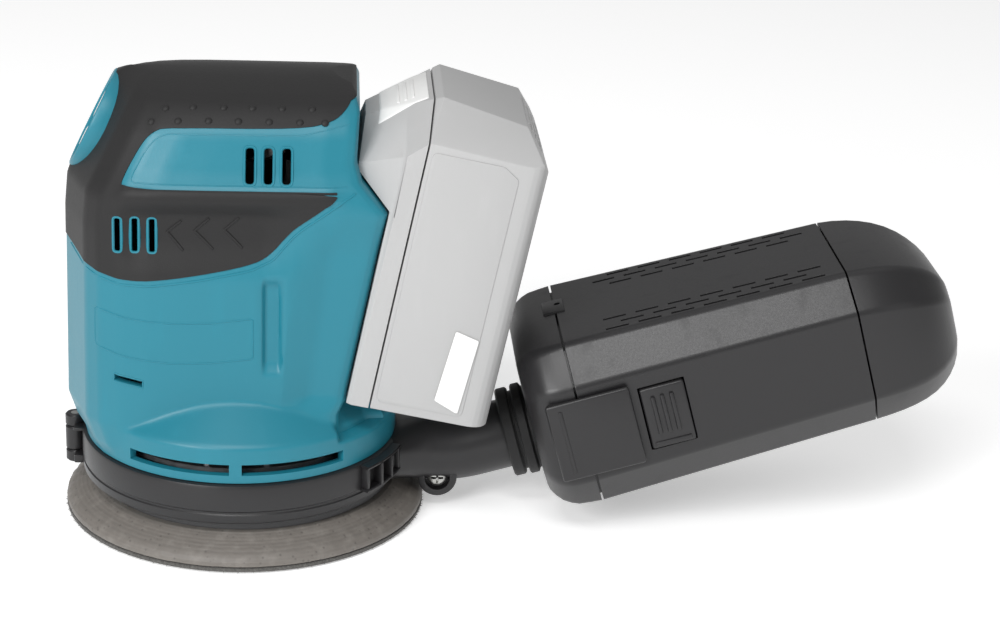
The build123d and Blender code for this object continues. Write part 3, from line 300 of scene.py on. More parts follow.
def block(bm, place, a, b, c, rounding=0.0, segments=2):
    """A box between two limits along each local axis, with rounded edges."""
    verts = bmesh.ops.create_cube(bm, size=1.0)["verts"]
    for vert in verts:
        u, v, w = vert.co + Vector((0.5, 0.5, 0.5))
        vert.co = place.point(a[0] + (a[1] - a[0]) * u, b[0] + (b[1] - b[0]) * v, c[0] + (c[1] - c[0]) * w)
    if rounding:
        soften(bm, {e for v in verts for e in v.link_edges}, rounding, segments)


def prism(bm, place, outline, c, rounding):
    """An outline made solid between two heights along the local normal, its rims rounded."""
    face = bm.faces.new([bm.verts.new(place.point(a, b, c[0])) for a, b in outline])
    made = bmesh.ops.extrude_face_region(bm, geom=[face], use_keep_orig=True)["geom"]
    verts = [g for g in made if isinstance(g, bmesh.types.BMVert)]
    bmesh.ops.translate(bm, verts=verts, vec=place.normal * (c[1] - c[0]))
    rims = {e for v in verts for e in v.link_edges if all(x in verts for x in e.verts)}
    soften(bm, rims | set(face.edges), rounding)


def turned(bm, place, profile, steps=96, start=0.0, turn=360.0, closed=False):
    """A profile of (radius, height) points spun about the local normal."""
    spoke = place.x_dir * cos(radians(start)) + place.y_dir * sin(radians(start))
    verts = [bm.verts.new(place.origin + spoke * r + place.normal * h) for r, h in profile]
    pairs = list(zip(verts, verts[1:])) + ([(verts[-1], verts[0])] if closed else [])
    geom = verts + [bm.edges.new(pair) for pair in pairs]
    full = abs(turn) >= 360
    if closed and not full:
        geom.append(bm.faces.new(verts))
    bmesh.ops.spin(bm, geom=geom, cent=place.origin, axis=place.normal, angle=radians(turn),
                   steps=steps, use_merge=full, use_duplicate=False)
    weld(bm, 0.001)


def bead(bm, points, normals, radius, closed, flat):
    """A thin round cord laid half sunk along points on a surface."""
    sides = 6
    count = len(points)
    loops = []
    for i, (p, n) in enumerate(zip(points, normals)):
        before = points[i - 1] if closed or i else p
        after = points[(i + 1) % count] if closed or i + 1 < count else p
        run = (after - before).normalized()
        across = run.cross(n).normalized()
        up = across.cross(run)
        loops.append([
            p + across * radius * cos(2 * pi * k / sides) + up * radius * flat * sin(2 * pi * k / sides)
            for k in range(sides)
        ])
    if closed:
        loops.append(loops[0])
    skin(bm, loops, caps=(not closed, not closed))
    weld(bm, 0.0005)


def dome(bm, centre, normal, radius, height):
    """A low round bump standing on a surface."""
    made = bmesh.ops.create_icosphere(bm, subdivisions=2, radius=1.0)["verts"]
    turn = normal.to_track_quat("Z", "Y").to_matrix()
    for vert in made:
        vert.co = centre + turn @ Vector((vert.co.x * radius, vert.co.y * radius, vert.co.z * height))


def drape(tree, place, outline):
    """Where points of a flat outline land on a skin, and the skin's normals there."""
    away = 80.0
    points, normals = [], []
    for a, b in outline:
        hit, normal, _, _ = tree.ray_cast(place.point(a, b, away), -place.normal)
        if hit is not None:
            points.append(hit)
            normals.append(normal)
    return points, normals


def carve(bm, place, cuts):
    """Takes a convex block down by planes; each cut is a local point and an outward direction."""
    for point, out in cuts:
        outward = place.x_dir * out[0] + place.y_dir * out[1] + place.normal * out[2]
        slice_off(bm, place.point(*point), outward, dist=0.001)
        bmesh.ops.holes_fill(bm, edges=[e for e in bm.edges if e.is_boundary])


def score(bm, place, outline, depth=(-200.0, 200.0)):
    """Cuts a skin along a closed line drawn on a plane, so that faces on each side can be picked."""
    margin = 0.4

    def spans(face):
        spots = [place.local(v.co) for v in face.verts]
        return tuple((min(s[i] for s in spots), max(s[i] for s in spots)) for i in range(3))

    def near_to(face, a_span, b_span):
        a, b, c = spans(face)
        return (a[1] > a_span[0] - margin and a[0] < a_span[1] + margin
                and b[1] > b_span[0] - margin and b[0] < b_span[1] + margin
                and c[1] > depth[0] and c[0] < depth[1])

    whole = [(min(p[i] for p in outline), max(p[i] for p in outline)) for i in (0, 1)]
    near = {f for f in bm.faces if near_to(f, *whole)}
    for (a0, b0), (a1, b1) in zip(outline, outline[1:] + outline[:1]):
        run = place.x_dir * (a1 - a0) + place.y_dir * (b1 - b0)
        if run.length < 1e-4:
            continue
        faces = [f for f in near if f.is_valid and near_to(f, sorted((a0, a1)), sorted((b0, b1)))]
        if not faces:
            continue
        geom = faces + list({e for f in faces for e in f.edges}) + list({v for f in faces for v in f.verts})
        made = bmesh.ops.bisect_plane(bm, geom=geom, dist=0.01, plane_co=place.point(a0, b0),
                                      plane_no=run.cross(place.normal))["geom"]
        near = {f for f in near if f.is_valid} | {g for g in made if isinstance(g, bmesh.types.BMFace)}


def within(bm, place, outline, depth=(-200.0, 200.0)):
    """Faces of a skin whose middles are inside an outline."""
    left, right = min(a for a, _ in outline), max(a for a, _ in outline)
    found = []
    for face in bm.faces:
        a, b, c = place.local(face.calc_center_median())
        if left < a < right and depth[0] < c < depth[1] and inside(outline, a, b):
            found.append(face)
    return found


def window(bm, place, outline, depth):
    """Opens a skin inside an outline."""
    score(bm, place, outline, depth)
    bmesh.ops.delete(bm, geom=within(bm, place, outline, depth), context="FACES")


def mirrored(bm):
    """The mirror image of a shape in the middle plane."""
    other = bm.copy()
    bmesh.ops.scale(other, vec=Vector((1, -1, 1)), verts=other.verts)
    bmesh.ops.reverse_faces(other, faces=other.faces)
    return other


def joined(*parts):
    """Several shapes in one."""
    whole = bmesh.new()
    for part in parts:
        mesh = bpy.data.meshes.new("part")
        part.to_mesh(mesh)
        part.free()
        whole.from_mesh(mesh)
        bpy.data.meshes.remove(mesh)
    return whole


def cut_out(bm, tool, how="DIFFERENCE"):
    """The shape with the tool's volume taken out of it, or joined to it."""
    scene = bpy.context.scene
    objects = []
    for name, shape in (("stock", bm), ("tool", tool)):
        face_out(shape)
        mesh = bpy.data.meshes.new(name)
        shape.to_mesh(mesh)
        shape.free()
        objects.append(bpy.data.objects.new(name, mesh))
        scene.collection.objects.link(objects[-1])
    stock, cutter = objects
    cut = stock.modifiers.new("cut", "BOOLEAN")
    cut.operation, cut.solver, cut.object = how, "EXACT", cutter
    made = bpy.data.meshes.new_from_object(stock.evaluated_get(bpy.context.evaluated_depsgraph_get()))
    left_over = bmesh.new()
    left_over.from_mesh(made)
    for obj in objects:
        mesh = obj.data
        bpy.data.objects.remove(obj)
        bpy.data.meshes.remove(mesh)
    bpy.data.meshes.remove(made)
    return left_over


def piece(name, bm, slot, body, replaces=(), wall=0.0, edge=0.0, edge_angle=55, turn_out=True):
    """Makes a shape a finished piece that rides on its body and stands for its CAD nodes."""
    if turn_out:
        face_out(bm)
    bmesh.ops.scale(bm, vec=Vector((MM, MM, MM)), verts=bm.verts)
    mesh = bpy.data.meshes.new(name)
    bm.to_mesh(mesh)
    bm.free()
    mesh.materials.append(finishes[slot])
    obj = bpy.data.objects.new(name, mesh)
    bpy.context.scene.collection.objects.link(obj)
    mesh.shade_smooth()
    if wall:
        solid = obj.modifiers.new("wall", "SOLIDIFY")
        solid.thickness, solid.offset = wall * MM, -1.0
    if edge:
        bevel = obj.modifiers.new("edge", "BEVEL")
        bevel.width, bevel.segments, bevel.limit_method = edge * MM, 2, "ANGLE"
        bevel.angle_limit = radians(edge_angle)
        weighted = obj.modifiers.new("shading", "WEIGHTED_NORMAL")
        weighted.keep_sharp = True
    else:
        mesh.set_sharp_from_angle(angle=radians(CRISP_ANGLE))
    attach(obj, body)
    if replaces:
        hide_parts(*replaces)
    return obj


# ================================================================ finishes
finishes = {}                                           # every finish by its slot, once made


class Field:
    """A value socket that can be used in sums, so that shader maths reads as maths."""

    def __init__(self, finish, socket):
        self.finish, self.socket = finish, socket

    def sum(self, operation, *values, clamp=False):
        values = [v.socket if isinstance(v, Field) else v for v in values]
        return self.finish.node("ShaderNodeMath", {"operation": operation, "use_clamp": clamp},
                                dict(enumerate(values)))

    def __add__(self, other):
        return self.sum("ADD", self, other)

    def __mul__(self, other):
        return self.sum("MULTIPLY", self, other)

    def __sub__(self, other):
        return self.sum("SUBTRACT", self, other)

    def __rsub__(self, other):
        return self.sum("SUBTRACT", other, self)

    def __pow__(self, other):
        return self.sum("POWER", self, other)

    __radd__, __rmul__ = __add__, __mul__

    def above(self, level, spread):
        """0 well under the level and 1 well over it."""
        return self.sum("MULTIPLY_ADD", self, 1 / spread, 0.5 - level / spread, clamp=True)

    def most(self, other):
        return self.sum("MAXIMUM", self, other)


class Finish:
    """A procedural material under construction."""

    def __init__(self, name):
        self.material = bpy.data.materials.new(name)
        self.material.use_nodes = True
        self.tree = self.material.node_tree
        self.shader = self.tree.nodes["Principled BSDF"]
        self.place = self.node("ShaderNodeTexCoord", output="Object").socket

    def node(self, kind, settings=None, values=None, output=0):
        """Any node: its settings first, then the values or links of its sockets."""
        made = self.tree.nodes.new(kind)
        for key, value in (settings or {}).items():
            setattr(made, key, value)
        for key, value in (values or {}).items():
            value = value.socket if isinstance(value, Field) else value
            if isinstance(value, bpy.types.NodeSocket):
                self.tree.links.new(value, made.inputs[key])
            else:
                made.inputs[key].default_value = value
        return Field(self, made.outputs[output])

    def noise(self, scale, detail=3.0, stretch=(1, 1, 1)):
        """Cloudy noise; scale is in waves to the metre."""
        where = self.node("ShaderNodeMapping", None, {"Vector": self.place, "Scale": stretch})
        return self.node("ShaderNodeTexNoise", None, {"Vector": where, "Scale": scale, "Detail": detail})

    def cells(self, scale):
        return self.node("ShaderNodeTexVoronoi", None, {"Vector": self.place, "Scale": scale})

    def axis(self, which):
        return self.node("ShaderNodeSeparateXYZ", None, {0: self.place}, output=which)

    def mix(self, low_colour, high_colour, factor):
        colours = [c if isinstance(c, Field) else (*c, 1.0) for c in (low_colour, high_colour)]
        return self.node("ShaderNodeMix", {"data_type": "RGBA"},
                         {0: factor, 6: colours[0], 7: colours[1]}, output=2)

    def put(self, **sockets):
        names = {"colour": "Base Color", "roughness": "Roughness", "metallic": "Metallic",
                 "coat": "Coat Weight", "coat_roughness": "Coat Roughness", "specular": "Specular IOR Level",
                 "emission": "Emission Color", "glow": "Emission Strength", "sheen": "Sheen Weight",
                 "normal": "Normal"}
        for key, value in sockets.items():
            socket = self.shader.inputs[names[key]]
            if isinstance(value, Field):
                self.tree.links.new(value.socket, socket)
            else:
                socket.default_value = (*value, 1.0) if isinstance(value, (tuple, list)) else value
        return self

    def bump(self, height, reach, strength=1.0):
        made = self.node("ShaderNodeBump", None,
                         {"Height": height, "Distance": reach * MM, "Strength": strength})
        return self.put(normal=made)


def shade(colour, factor):
    return tuple(c * factor for c in colour)


def moulded(name, colour, roughness, grain=1500.0, depth=0.03, drift=0.06, gloss=0.5):
    """Moulded plastic: spark-eroded grain, a slow drift in tone and faint rub marks."""
    finish = Finish(name)
    grit = finish.noise(grain, 4.0)
    cloud = finish.noise(22.0, 2.0)
    rub = finish.noise(160.0, 5.0, stretch=(1, 1, 0.25))
    tone = finish.mix(shade(colour, 1 - drift), shade(colour, 1 + drift), cloud * 0.7 + grit * 0.3)
    rubbed = rub.above(0.66, 0.2)
    worn = finish.mix(tone, shade(colour, 1 + 2.2 * drift), rubbed * 0.35)
    finish.put(colour=worn, roughness=roughness + (grit - 0.5) * 0.10 + (cloud - 0.5) * 0.06 + rubbed * 0.05,
               specular=gloss)
    finish.bump(grit + rub * 0.25, depth, 0.6)
    return finish.material


def soft_rubber(name, colour):
    """Overmoulded elastomer: matt, fine-pored, a little dust in the pores."""
    finish = Finish(name)
    pores = finish.cells(1700.0)
    grit = finish.noise(900.0, 4.0)
    haze = finish.noise(35.0, 3.0)
    finish.put(colour=finish.mix(shade(colour, 0.85), shade(colour, 1.3), haze * 0.6 + grit * 0.4),
               roughness=0.58 + (haze - 0.5) * 0.12 + (grit - 0.5) * 0.10, specular=0.34, sheen=0.03)
    finish.bump(pores * 0.6 + grit * 0.4, 0.05, 0.6)
    return finish.material


def pad_foam_finish(name, colour):
    """Grey foam edge with fine rings from spinning against the work, dust and nicks."""
    finish = Finish(name)
    x = finish.axis("X") - ORBIT * MM
    y = finish.axis("Y")
    radius = (x * x + y * y) ** 0.5
    height = finish.axis("Z")
    along_edge = finish.node("ShaderNodeCombineXYZ", None, {0: radius * 900.0, 1: height * 900.0, 2: 0.0})
    rings = finish.node("ShaderNodeTexNoise", {"noise_dimensions": "2D"},
                        {"Vector": along_edge, "Scale": 1.0, "Detail": 4.0})
    dust = finish.noise(260.0, 6.0)
    nicks = finish.cells(420.0)
    blotch = finish.noise(45.0, 4.0)
    tone = finish.mix(shade(colour, 0.72), shade(colour, 1.25), rings * 0.75 + blotch * 0.25)
    dusty = finish.mix(tone, (0.34, 0.32, 0.29), dust.above(0.62, 0.25) * 0.22)
    pitted = finish.mix(dusty, shade(colour, 0.40), (1 - nicks.above(0.16, 0.12)) * 0.55)
    finish.put(colour=pitted, roughness=0.46 + rings * 0.16, specular=0.6)
    finish.bump(rings * 0.8 + nicks * 0.5 + dust * 0.5, 0.22, 0.8)
    return finish.material


def metal(name, colour, roughness, brush=(1, 1, 12), depth=0.02):
    """Plated or ground metal with fine tool marks."""
    finish = Finish(name)
    marks = finish.noise(420.0, 5.0, stretch=brush)
    stain = finish.noise(60.0, 3.0)
    finish.put(colour=finish.mix(shade(colour, 0.78), shade(colour, 1.12), marks * 0.5 + stain * 0.5),
               metallic=1.0, roughness=roughness + (marks - 0.5) * 0.22)
    finish.bump(marks, depth, 0.5)
    return finish.material


def woven(name, colour):
    """Plain-woven filter cloth."""
    finish = Finish(name)
    warp, weft = (
        finish.node("ShaderNodeTexWave", {"bands_direction": way}, {"Vector": finish.place, "Scale": 420.0})
        for way in "XY")
    weave = warp.most(weft)
    fluff = finish.noise(700.0, 5.0)
    finish.put(colour=finish.mix(shade(colour, 0.7), shade(colour, 1.15), weave * 0.6 + fluff * 0.4),
               roughness=0.9, sheen=0.2)
    finish.bump(weave + fluff * 0.5, 0.12, 0.8)
    return finish.material


def hook_cloth(name, colour):
    """Hook-and-loop facing: dense short stems."""
    finish = Finish(name)
    stems = finish.cells(1100.0)
    wear = finish.noise(90.0, 4.0)
    finish.put(colour=finish.mix(shade(colour, 0.55), shade(colour, 1.3), stems * 0.6 + wear * 0.4),
               roughness=0.85, sheen=0.15)
    finish.bump(1 - stems, 0.35, 1.0)
    return finish.material


def lacquered(name, colour):
    """Coated board or film: gloss over a mottled ground."""
    finish = Finish(name)
    mottle = finish.noise(300.0, 4.0)
    tracks = finish.node("ShaderNodeTexBrick", None, {"Vector": finish.place, "Scale": 160.0,
                                                      "Color1": (1, 1, 1, 1), "Color2": (0.8, 0.8, 0.8, 1),
                                                      "Mortar": (0, 0, 0, 1), "Mortar Size": 0.01})
    finish.put(colour=finish.mix(colour, shade(colour, 1.35), mottle * 0.6 + tracks * 0.3),
               roughness=0.24 + mottle * 0.14, coat=0.4)
    finish.bump(tracks, 0.03, 0.3)
    return finish.material


def make_finishes(colours):
    """Every finish by its slot: its maker, its base colour and what else the maker is told."""
    plain = (1, 1, 1)
    recipes = {
        "teal_plastic": (moulded, colours.teal, dict(roughness=0.40, drift=0.05, gloss=0.42)),
        "grip_rubber": (soft_rubber, colours.grip, {}),
        "black_plastic": (moulded, colours.black, dict(roughness=0.36, grain=1300, depth=0.035, drift=0.10)),
        "battery_grey": (moulded, colours.pack, dict(roughness=0.46, drift=0.03, gloss=0.35)),
        "button_grey": (moulded, colours.button, dict(roughness=0.40, drift=0.03)),
        "panel_film": (lacquered, (0.23, 0.32, 0.36), {}),
        "lamp_lens": (moulded, (0.35, 0.60, 0.32), dict(roughness=0.18, drift=0.05)),
        "circuit_board": (lacquered, (0.03, 0.14, 0.06), {}),
        "zinc_steel": (metal, (0.55, 0.55, 0.53), dict(roughness=0.34)),
        "black_screw": (metal, (0.09, 0.09, 0.095), dict(roughness=0.36, brush=plain)),
        "inner_plastic": (moulded, (0.035, 0.035, 0.037), dict(roughness=0.52, drift=0.12)),
        "bearing_steel": (metal, (0.56, 0.56, 0.56), dict(roughness=0.22)),
        "magnet": (metal, (0.10, 0.10, 0.11), dict(roughness=0.55, brush=plain, depth=0.05)),
        "carbon": (moulded, (0.02, 0.02, 0.022), dict(roughness=0.5, drift=0.2)),
        "copper": (metal, (0.70, 0.34, 0.16), dict(roughness=0.30, brush=(1, 1, 30), depth=0.08)),
        "cast_aluminium": (metal, (0.50, 0.51, 0.52), dict(roughness=0.46, brush=plain, depth=0.10)),
        "counterweight_iron": (metal, (0.22, 0.22, 0.22), dict(roughness=0.5, brush=plain, depth=0.08)),
        "filter_cloth": (woven, (0.62, 0.60, 0.54), {}),
        "cell_can": (moulded, (0.10, 0.28, 0.16), dict(roughness=0.30, drift=0.05)),
        "pad_foam": (pad_foam_finish, colours.pad, {}),
        "hook_fabric": (hook_cloth, (0.10, 0.096, 0.09), {}),
        "backing_plastic": (moulded, (0.05, 0.05, 0.052), dict(roughness=0.5, drift=0.12)),
    }
    return {name: maker(name, colour, **options) for name, (maker, colour, options) in recipes.items()}


# ================================================================ body
FRONT = [(28, -52.6), (33, -55.6), (41, -58.3), (108, -57.4), (119, -56.4), (151.4, -40.2), (153, -36)]
REAR = [(28, 33.2), (46, 33.2), (50, 35.2), (115.3, 47.9), (125, 39.5), (131, 37.8), (146, 38.6),
        (151.2, 36.6), (153, 29)]
HALF = [(28, 39.6), (60, 40), (114, 40), (119.3, 39.6), (122.4, 38.9), (128, 36.4), (134, 34.6),
        (139, 33.2), (142.2, 31.3), (145.6, 28.4), (148.2, 25), (149.9, 20.5), (151.4, 13),
        (152.5, 7), (153, 0)]
CREASE = [(45, 14.4), (52, 14.9), (69, 15.8), (109, 19.4), (153, 20.5)]
RIM = [(28, 52.9), (39.4, 52.9), (40.5, 52.5), (41.3, 51.5), (51.5, 39.5), (53, 30)]
SEGMENTS = (3, 10, 4, 4, 4, 4, 10, 3, 6, 3, 5, 5, 3, 3, 14)
GRIP_OUTLINE = [
    (-70, 99), (-53.5, 97), (-47, 94.5), (-37.5, 92.5), (-28, 92.4), (-12, 94.7), (4, 98), (10.4, 101),
    (16.8, 109), (20, 112), (31.6, 120.6), (31.6, 122.5), (-36.5, 122.5), (-36.2, 125), (-30.5, 135.5),
    (-27, 139.5), (-22.5, 141.3), (19.6, 141.5), (30, 143.6), (34.0, 146.5), (36.5, 150.0),
    (60, 151), (60, 170), (-70, 170),
]
UPPER_VENTS = [((x, 130.4), 10.8, 2.7) for x in (4.0, 9.8, 15.6)]
LOWER_VENTS = [((x, 107.0), 11.6, 2.8) for x in (-38.0, -32.5, -27.0)]
SMALL_SLOT = [(-39.8, 57.6), (-30.5, 55.8), (-30.5, 57.8), (-39.8, 59.6)]
NAMEPLATE = [(-46.0, 81.6), (-34, 79.3), (-21.4, 78.2), (-8, 78.6), (5.2, 80.3), (5.2, 66.4), (-8, 64.8),
             (-21.4, 64.4), (-34, 65.8), (-46.2, 68.5)]
EXHAUST = [(228.8, 267.8), (272.2, 311.2)]
EXHAUST_LOW, EXHAUST_HIGH = 30.7, 34.5
SCREW_PLACES = [(-45.0, 62.0), (-46.0, 100.0), (-26.0, 142.0), (22.0, 142.0)]
SCREW_WELL = 3.2                                        # radius of the wells over the screws
NEAR_SIDE, FAR_SIDE, GRIP_DEPTH = (8.0, 90.0), (-90, -8), (-5, 90)   # reach along left_side's normal
SOCKET_HALF, SOCKET_LOW, SOCKET_HIGH, SOCKET_FLOOR = 30.6, 2.0, 64.0, -12.5


def plan_at(z):
    """Left half of the body's plan at a height, from the middle of the front to the middle of the rear."""
    front, rear, k = along(FRONT, z), along(REAR, z), along(HALF, z) / 40
    crease = along(CREASE, z)
    deep = 3.2 * ease((z - 44) / 10) * (1 - ease((z - 100) / 18))
    return [
        (front, 0), (front, -6 * k), (front + 8.3, -28.9 * k), (front + 13.2, -34.6 * k),
        (front + 20, -38.2 * k), (front + 29, -39.7 * k), (front + 41, -40 * k), (7.6, -40 * k),
        (9.4, -40 * k), (13.4, -40 * k), (crease, -39.9 * k),
        (crease + 0.42 * (rear - crease), -40 * k + deep),
        (rear - 3.5, -(38.8 - deep * 0.75) * k), (rear - 1.0, -(37.6 - deep * 0.75) * k),
        (rear, -(35.4 - deep * 0.75) * k), (rear, 0),
    ]


def columns():
    """Places round the plan: a whole number is one of its corners."""
    values = [0.0]
    for i, count in enumerate(SEGMENTS):
        values += [i + (k + 1) / count for k in range(count)]
    return values


def pressed_in(x, z):
    """How far the side is pressed in at a place: finger recess, ridge and scoop."""
    recess = (3.6 * ease((119.0 - z) / 6.0) * ease((z - 91.5) / 16.0)
              * ease((x + 46) / 16) * ease((27 - x) / 20))
    ridge = -1.1 * ease((z - 118.3) / 1.6) * ease((123.4 - z) / 1.6) * ease((x + 40) / 8) * ease((36 - x) / 6)
    scoop = 2.0 * ease((x - 7.6) / 1.8) * ease((14.9 - x) / 1.5) * ease((z - 60.5) / 4) * ease((94 - z) / 3)
    return recess + ridge + scoop


def body_point(u, z):
    """A point of the body's left skin."""
    plan = plan_at(z)
    i = min(int(u), len(plan) - 2)
    x, y = (a + (b - a) * (u - i) for a, b in zip(plan[i], plan[i + 1]))
    if y < -20 and z > 50:
        y += pressed_in(x, z)
    reach = hypot(x, y)
    if z < RIM[-1][0]:
        turn = degrees(atan2(y, x))
        pocket = 4.5 * ease((turn + 51) / 2.5) * ease((-25 - turn) / 2.5) * ease((z - 37.5) / 1.2)
        wide = farther(reach, along(RIM, z) - pocket, 0.9)
        x, y = x * wide / reach, y * wide / reach
    return Vector((x, y, z))


def half_skin():
    bm = bmesh.new()
    heights = spaced([28, 30.7, 34.5, 39.4, 41.3, 53], 0.8) + spaced(
        [53, 60.5, 94, 113.5, 118.3, 120, 121.8, 123.4, 128, 134, 139, 142.2, 145.6, 148.2, 149.9, 151.4,
         152.4, 153], 1.5)[1:]
    grid_on(bm, columns(), heights, body_point)
    weld(bm, 0.02)
    bmesh.ops.dissolve_degenerate(bm, edges=bm.edges, dist=0.01)
    bm.normal_update()
    if sum(f.normal.y for f in bm.faces if abs(f.calc_center_median().x) < 20) > 0:
        bmesh.ops.reverse_faces(bm, faces=bm.faces)
    return bm


def cut_slots(bm):
    """Exhaust slots between radial planes in the rim."""
    for pair in EXHAUST:
        for turn in pair:
            near = [f for f in bm.faces if 30 < f.calc_center_median().z < 35.2]
            geom = near + list({e for f in near for e in f.edges}) + list({v for f in near for v in f.verts})
            across = Vector((-sin(radians(turn)), cos(radians(turn)), 0))
            bmesh.ops.bisect_plane(bm, geom=geom, dist=0.01, plane_co=(0, 0, 0), plane_no=across)
    gone = []
    for face in bm.faces:
        c = face.calc_center_median()
        turn = degrees(atan2(c.y, c.x)) % 360
        if EXHAUST_LOW < c.z < EXHAUST_HIGH and any(a < turn < b for a, b in EXHAUST):
            gone.append(face)
    bmesh.ops.delete(bm, geom=gone, context="FACES")


def split_skin(sizes):
    """The left half cut into its shell and its soft grip, and a tree of the uncut skin."""
    bm = half_skin()
    tree = BVHTree.FromBMesh(bm)
    grip_line = rounded_line(GRIP_OUTLINE, 2)
    score(bm, left_side, grip_line, GRIP_DEPTH)
    window(bm, panel, ellipse(16.2, 16.5, 48), (-6, 6))
    for centre, length, width in UPPER_VENTS + LOWER_VENTS:
        window(bm, left_side, capsule(centre, length, width), NEAR_SIDE)
    window(bm, left_side, SMALL_SLOT, NEAR_SIDE)
    opening = [(-SOCKET_HALF, SOCKET_LOW), (3.0, SOCKET_LOW), (3.0, SOCKET_HIGH), (-SOCKET_HALF, SOCKET_HIGH)]
    window(bm, bay, opening, (-3, 3))
    cut_slots(bm)
    grip = bm.copy()
    soft = set(within(grip, left_side, grip_line, GRIP_DEPTH))
    bmesh.ops.delete(grip, geom=[f for f in grip.faces if f not in soft], context="FACES")
    bmesh.ops.delete(bm, geom=within(bm, left_side, grip_line, GRIP_DEPTH), context="FACES")
    grip.normal_update()
    for vert in grip.verts:
        vert.co += vert.normal * sizes.grip_proud / MM
        if abs(vert.co.y) < 0.6:
            vert.co.y = 0.0
        vert.co.z = min(vert.co.z, BODY_TOP + 0.3)
    return bm, grip, tree


def relief(tree, place, outline, radius, closed=True, flat=0.7, sink=0.0):
    """A thin line standing on the skin."""
    bm = bmesh.new()
    points, normals = drape(tree, place, outline)
    if len(points) > 3:
        points = [p - n * sink for p, n in zip(points, normals)]
        bead(bm, points, normals, radius, closed=closed, flat=flat)
    return bm


def finely(points, step=1.2, closed=False):
    """Points along straight runs, evenly close together."""
    made = []
    pairs = list(zip(points, points[1:] + points[:1])) if closed else list(zip(points, points[1:]))
    for (a0, b0), (a1, b1) in pairs:
        count = max(1, round(hypot(a1 - a0, b1 - b0) / step))
        made += [(a0 + (a1 - a0) * k / count, b0 + (b1 - b0) * k / count) for k in range(count)]
    return made if closed else made + [points[-1]]


def shell_relief(tree):
    """Raised lines of the teal shell: grip border, window line, nameplate and vent rims."""
    border = [(-55.5, 95.6), (-47.4, 92.9), (-37.7, 90.8), (-27.9, 90.7), (-11.7, 93.0), (4.6, 96.4),
              (11.6, 99.8), (18.1, 107.8), (21.1, 110.7), (33.4, 119.8), (37.5, 122.4)]
    pane = [(35.0, 124.3), (-33.4, 124.4), (-33.2, 126.2), (-29.0, 134.0), (-25.8, 137.8), (-22.2, 139.4),
              (19.8, 139.6), (35.5, 143.0)]
    parts = [
        relief(tree, left_side, rounded_line(finely(border, 4.0), 1, closed=False), 0.40, closed=False),
        relief(tree, left_side, rounded_line(finely(pane, 4.0), 1, closed=False), 0.22, closed=False),
        relief(tree, left_side, rounded_line(finely(NAMEPLATE, 3.0, True), 1), 0.30),
    ]
    for centre, length, width in UPPER_VENTS:
        parts.append(relief(tree, left_side, capsule(centre, length + 0.9, width + 0.9), 0.42))
    for centre, length, width in LOWER_VENTS:
        parts.append(relief(tree, left_side, capsule(centre, length - 0.1, width - 0.1), 0.5, sink=-0.05))
    parts.append(relief(tree, left_side, finely(widened(SMALL_SLOT, 0.4), 1.5, True), 0.30))
    return joined(*parts)


def grip_relief(tree, sizes):
    """Bumps on the upper side of the grip and the chevrons in the finger recess."""
    bm = bmesh.new()
    upper = [(x, -27.6, 147.6) for x in (-23.3, -14.3, -4.6, 4.5, 13.9, 23.4)]
    lower = [(x, -31.0, 143.8) for x in (-28.2, -18.9, -9.2, 0.2, 9.9, 19.6, 27.5)]
    for spot in upper + lower:
        hit, normal, _, _ = tree.find_nearest(Vector(spot))
        dome(bm, hit + normal * sizes.grip_proud / MM, normal, sizes.bump_radius / MM, 0.55)
    chevrons = [
        [(-17.7, 112.1), (-22.2, 108.4), (-17.2, 102.4)],
        [(-8.9, 113.0), (-13.5, 108.9), (-7.7, 102.9)],
        [(0.6, 113.5), (-4.0, 109.4), (1.6, 103.4)],
    ]
    lines = [relief(tree, left_side, finely(chevron, 1.0), 0.5, closed=False, flat=0.9, sink=-0.25)
             for chevron in chevrons]
    edge = relief(tree, left_side, finely([(-36, 122.6), (31.6, 122.6)], 2.0), 0.5, closed=False)
    return joined(bm, edge, *lines)


def socket_lining():
    """Lining of the battery socket with its two undercut rails."""
    bm = bmesh.new()
    mouth = filleted([(-SOCKET_HALF, SOCKET_LOW), (SOCKET_HALF, SOCKET_LOW), (SOCKET_HALF, SOCKET_HIGH),
                      (-SOCKET_HALF, SOCKET_HIGH)], 1.5, 3)
    loops = [[bay.point(a, b, c) for a, b in mouth] for c in (-0.2, -4.0, SOCKET_FLOOR)]
    skin(bm, loops, caps=(False, False))
    hole = filleted([(-14, 15), (14, 15), (14, 48), (-14, 48)], 1.5, 3)
    floor = ring_of(bm, loops[-1]) + ring_of(bm, [bay.point(a, b, SOCKET_FLOOR) for a, b in hole])
    bmesh.ops.bridge_loops(bm, edges=floor)
    weld(bm, 0.001)
    for side in (-1, 1):
        span = sorted((side * 20.6, side * (SOCKET_HALF + 0.3)))
        block(bm, bay, span, (SOCKET_LOW + 0.2, SOCKET_HIGH - 0.2), (-7.8, -2.1), 0.6)
    return bm


def screw_wells(bm):
    """Opens round wells over the screws in the right side."""
    for x, z in SCREW_PLACES:
        window(bm, left_side, ellipse(SCREW_WELL, SCREW_WELL, 20, (x, z)), FAR_SIDE)


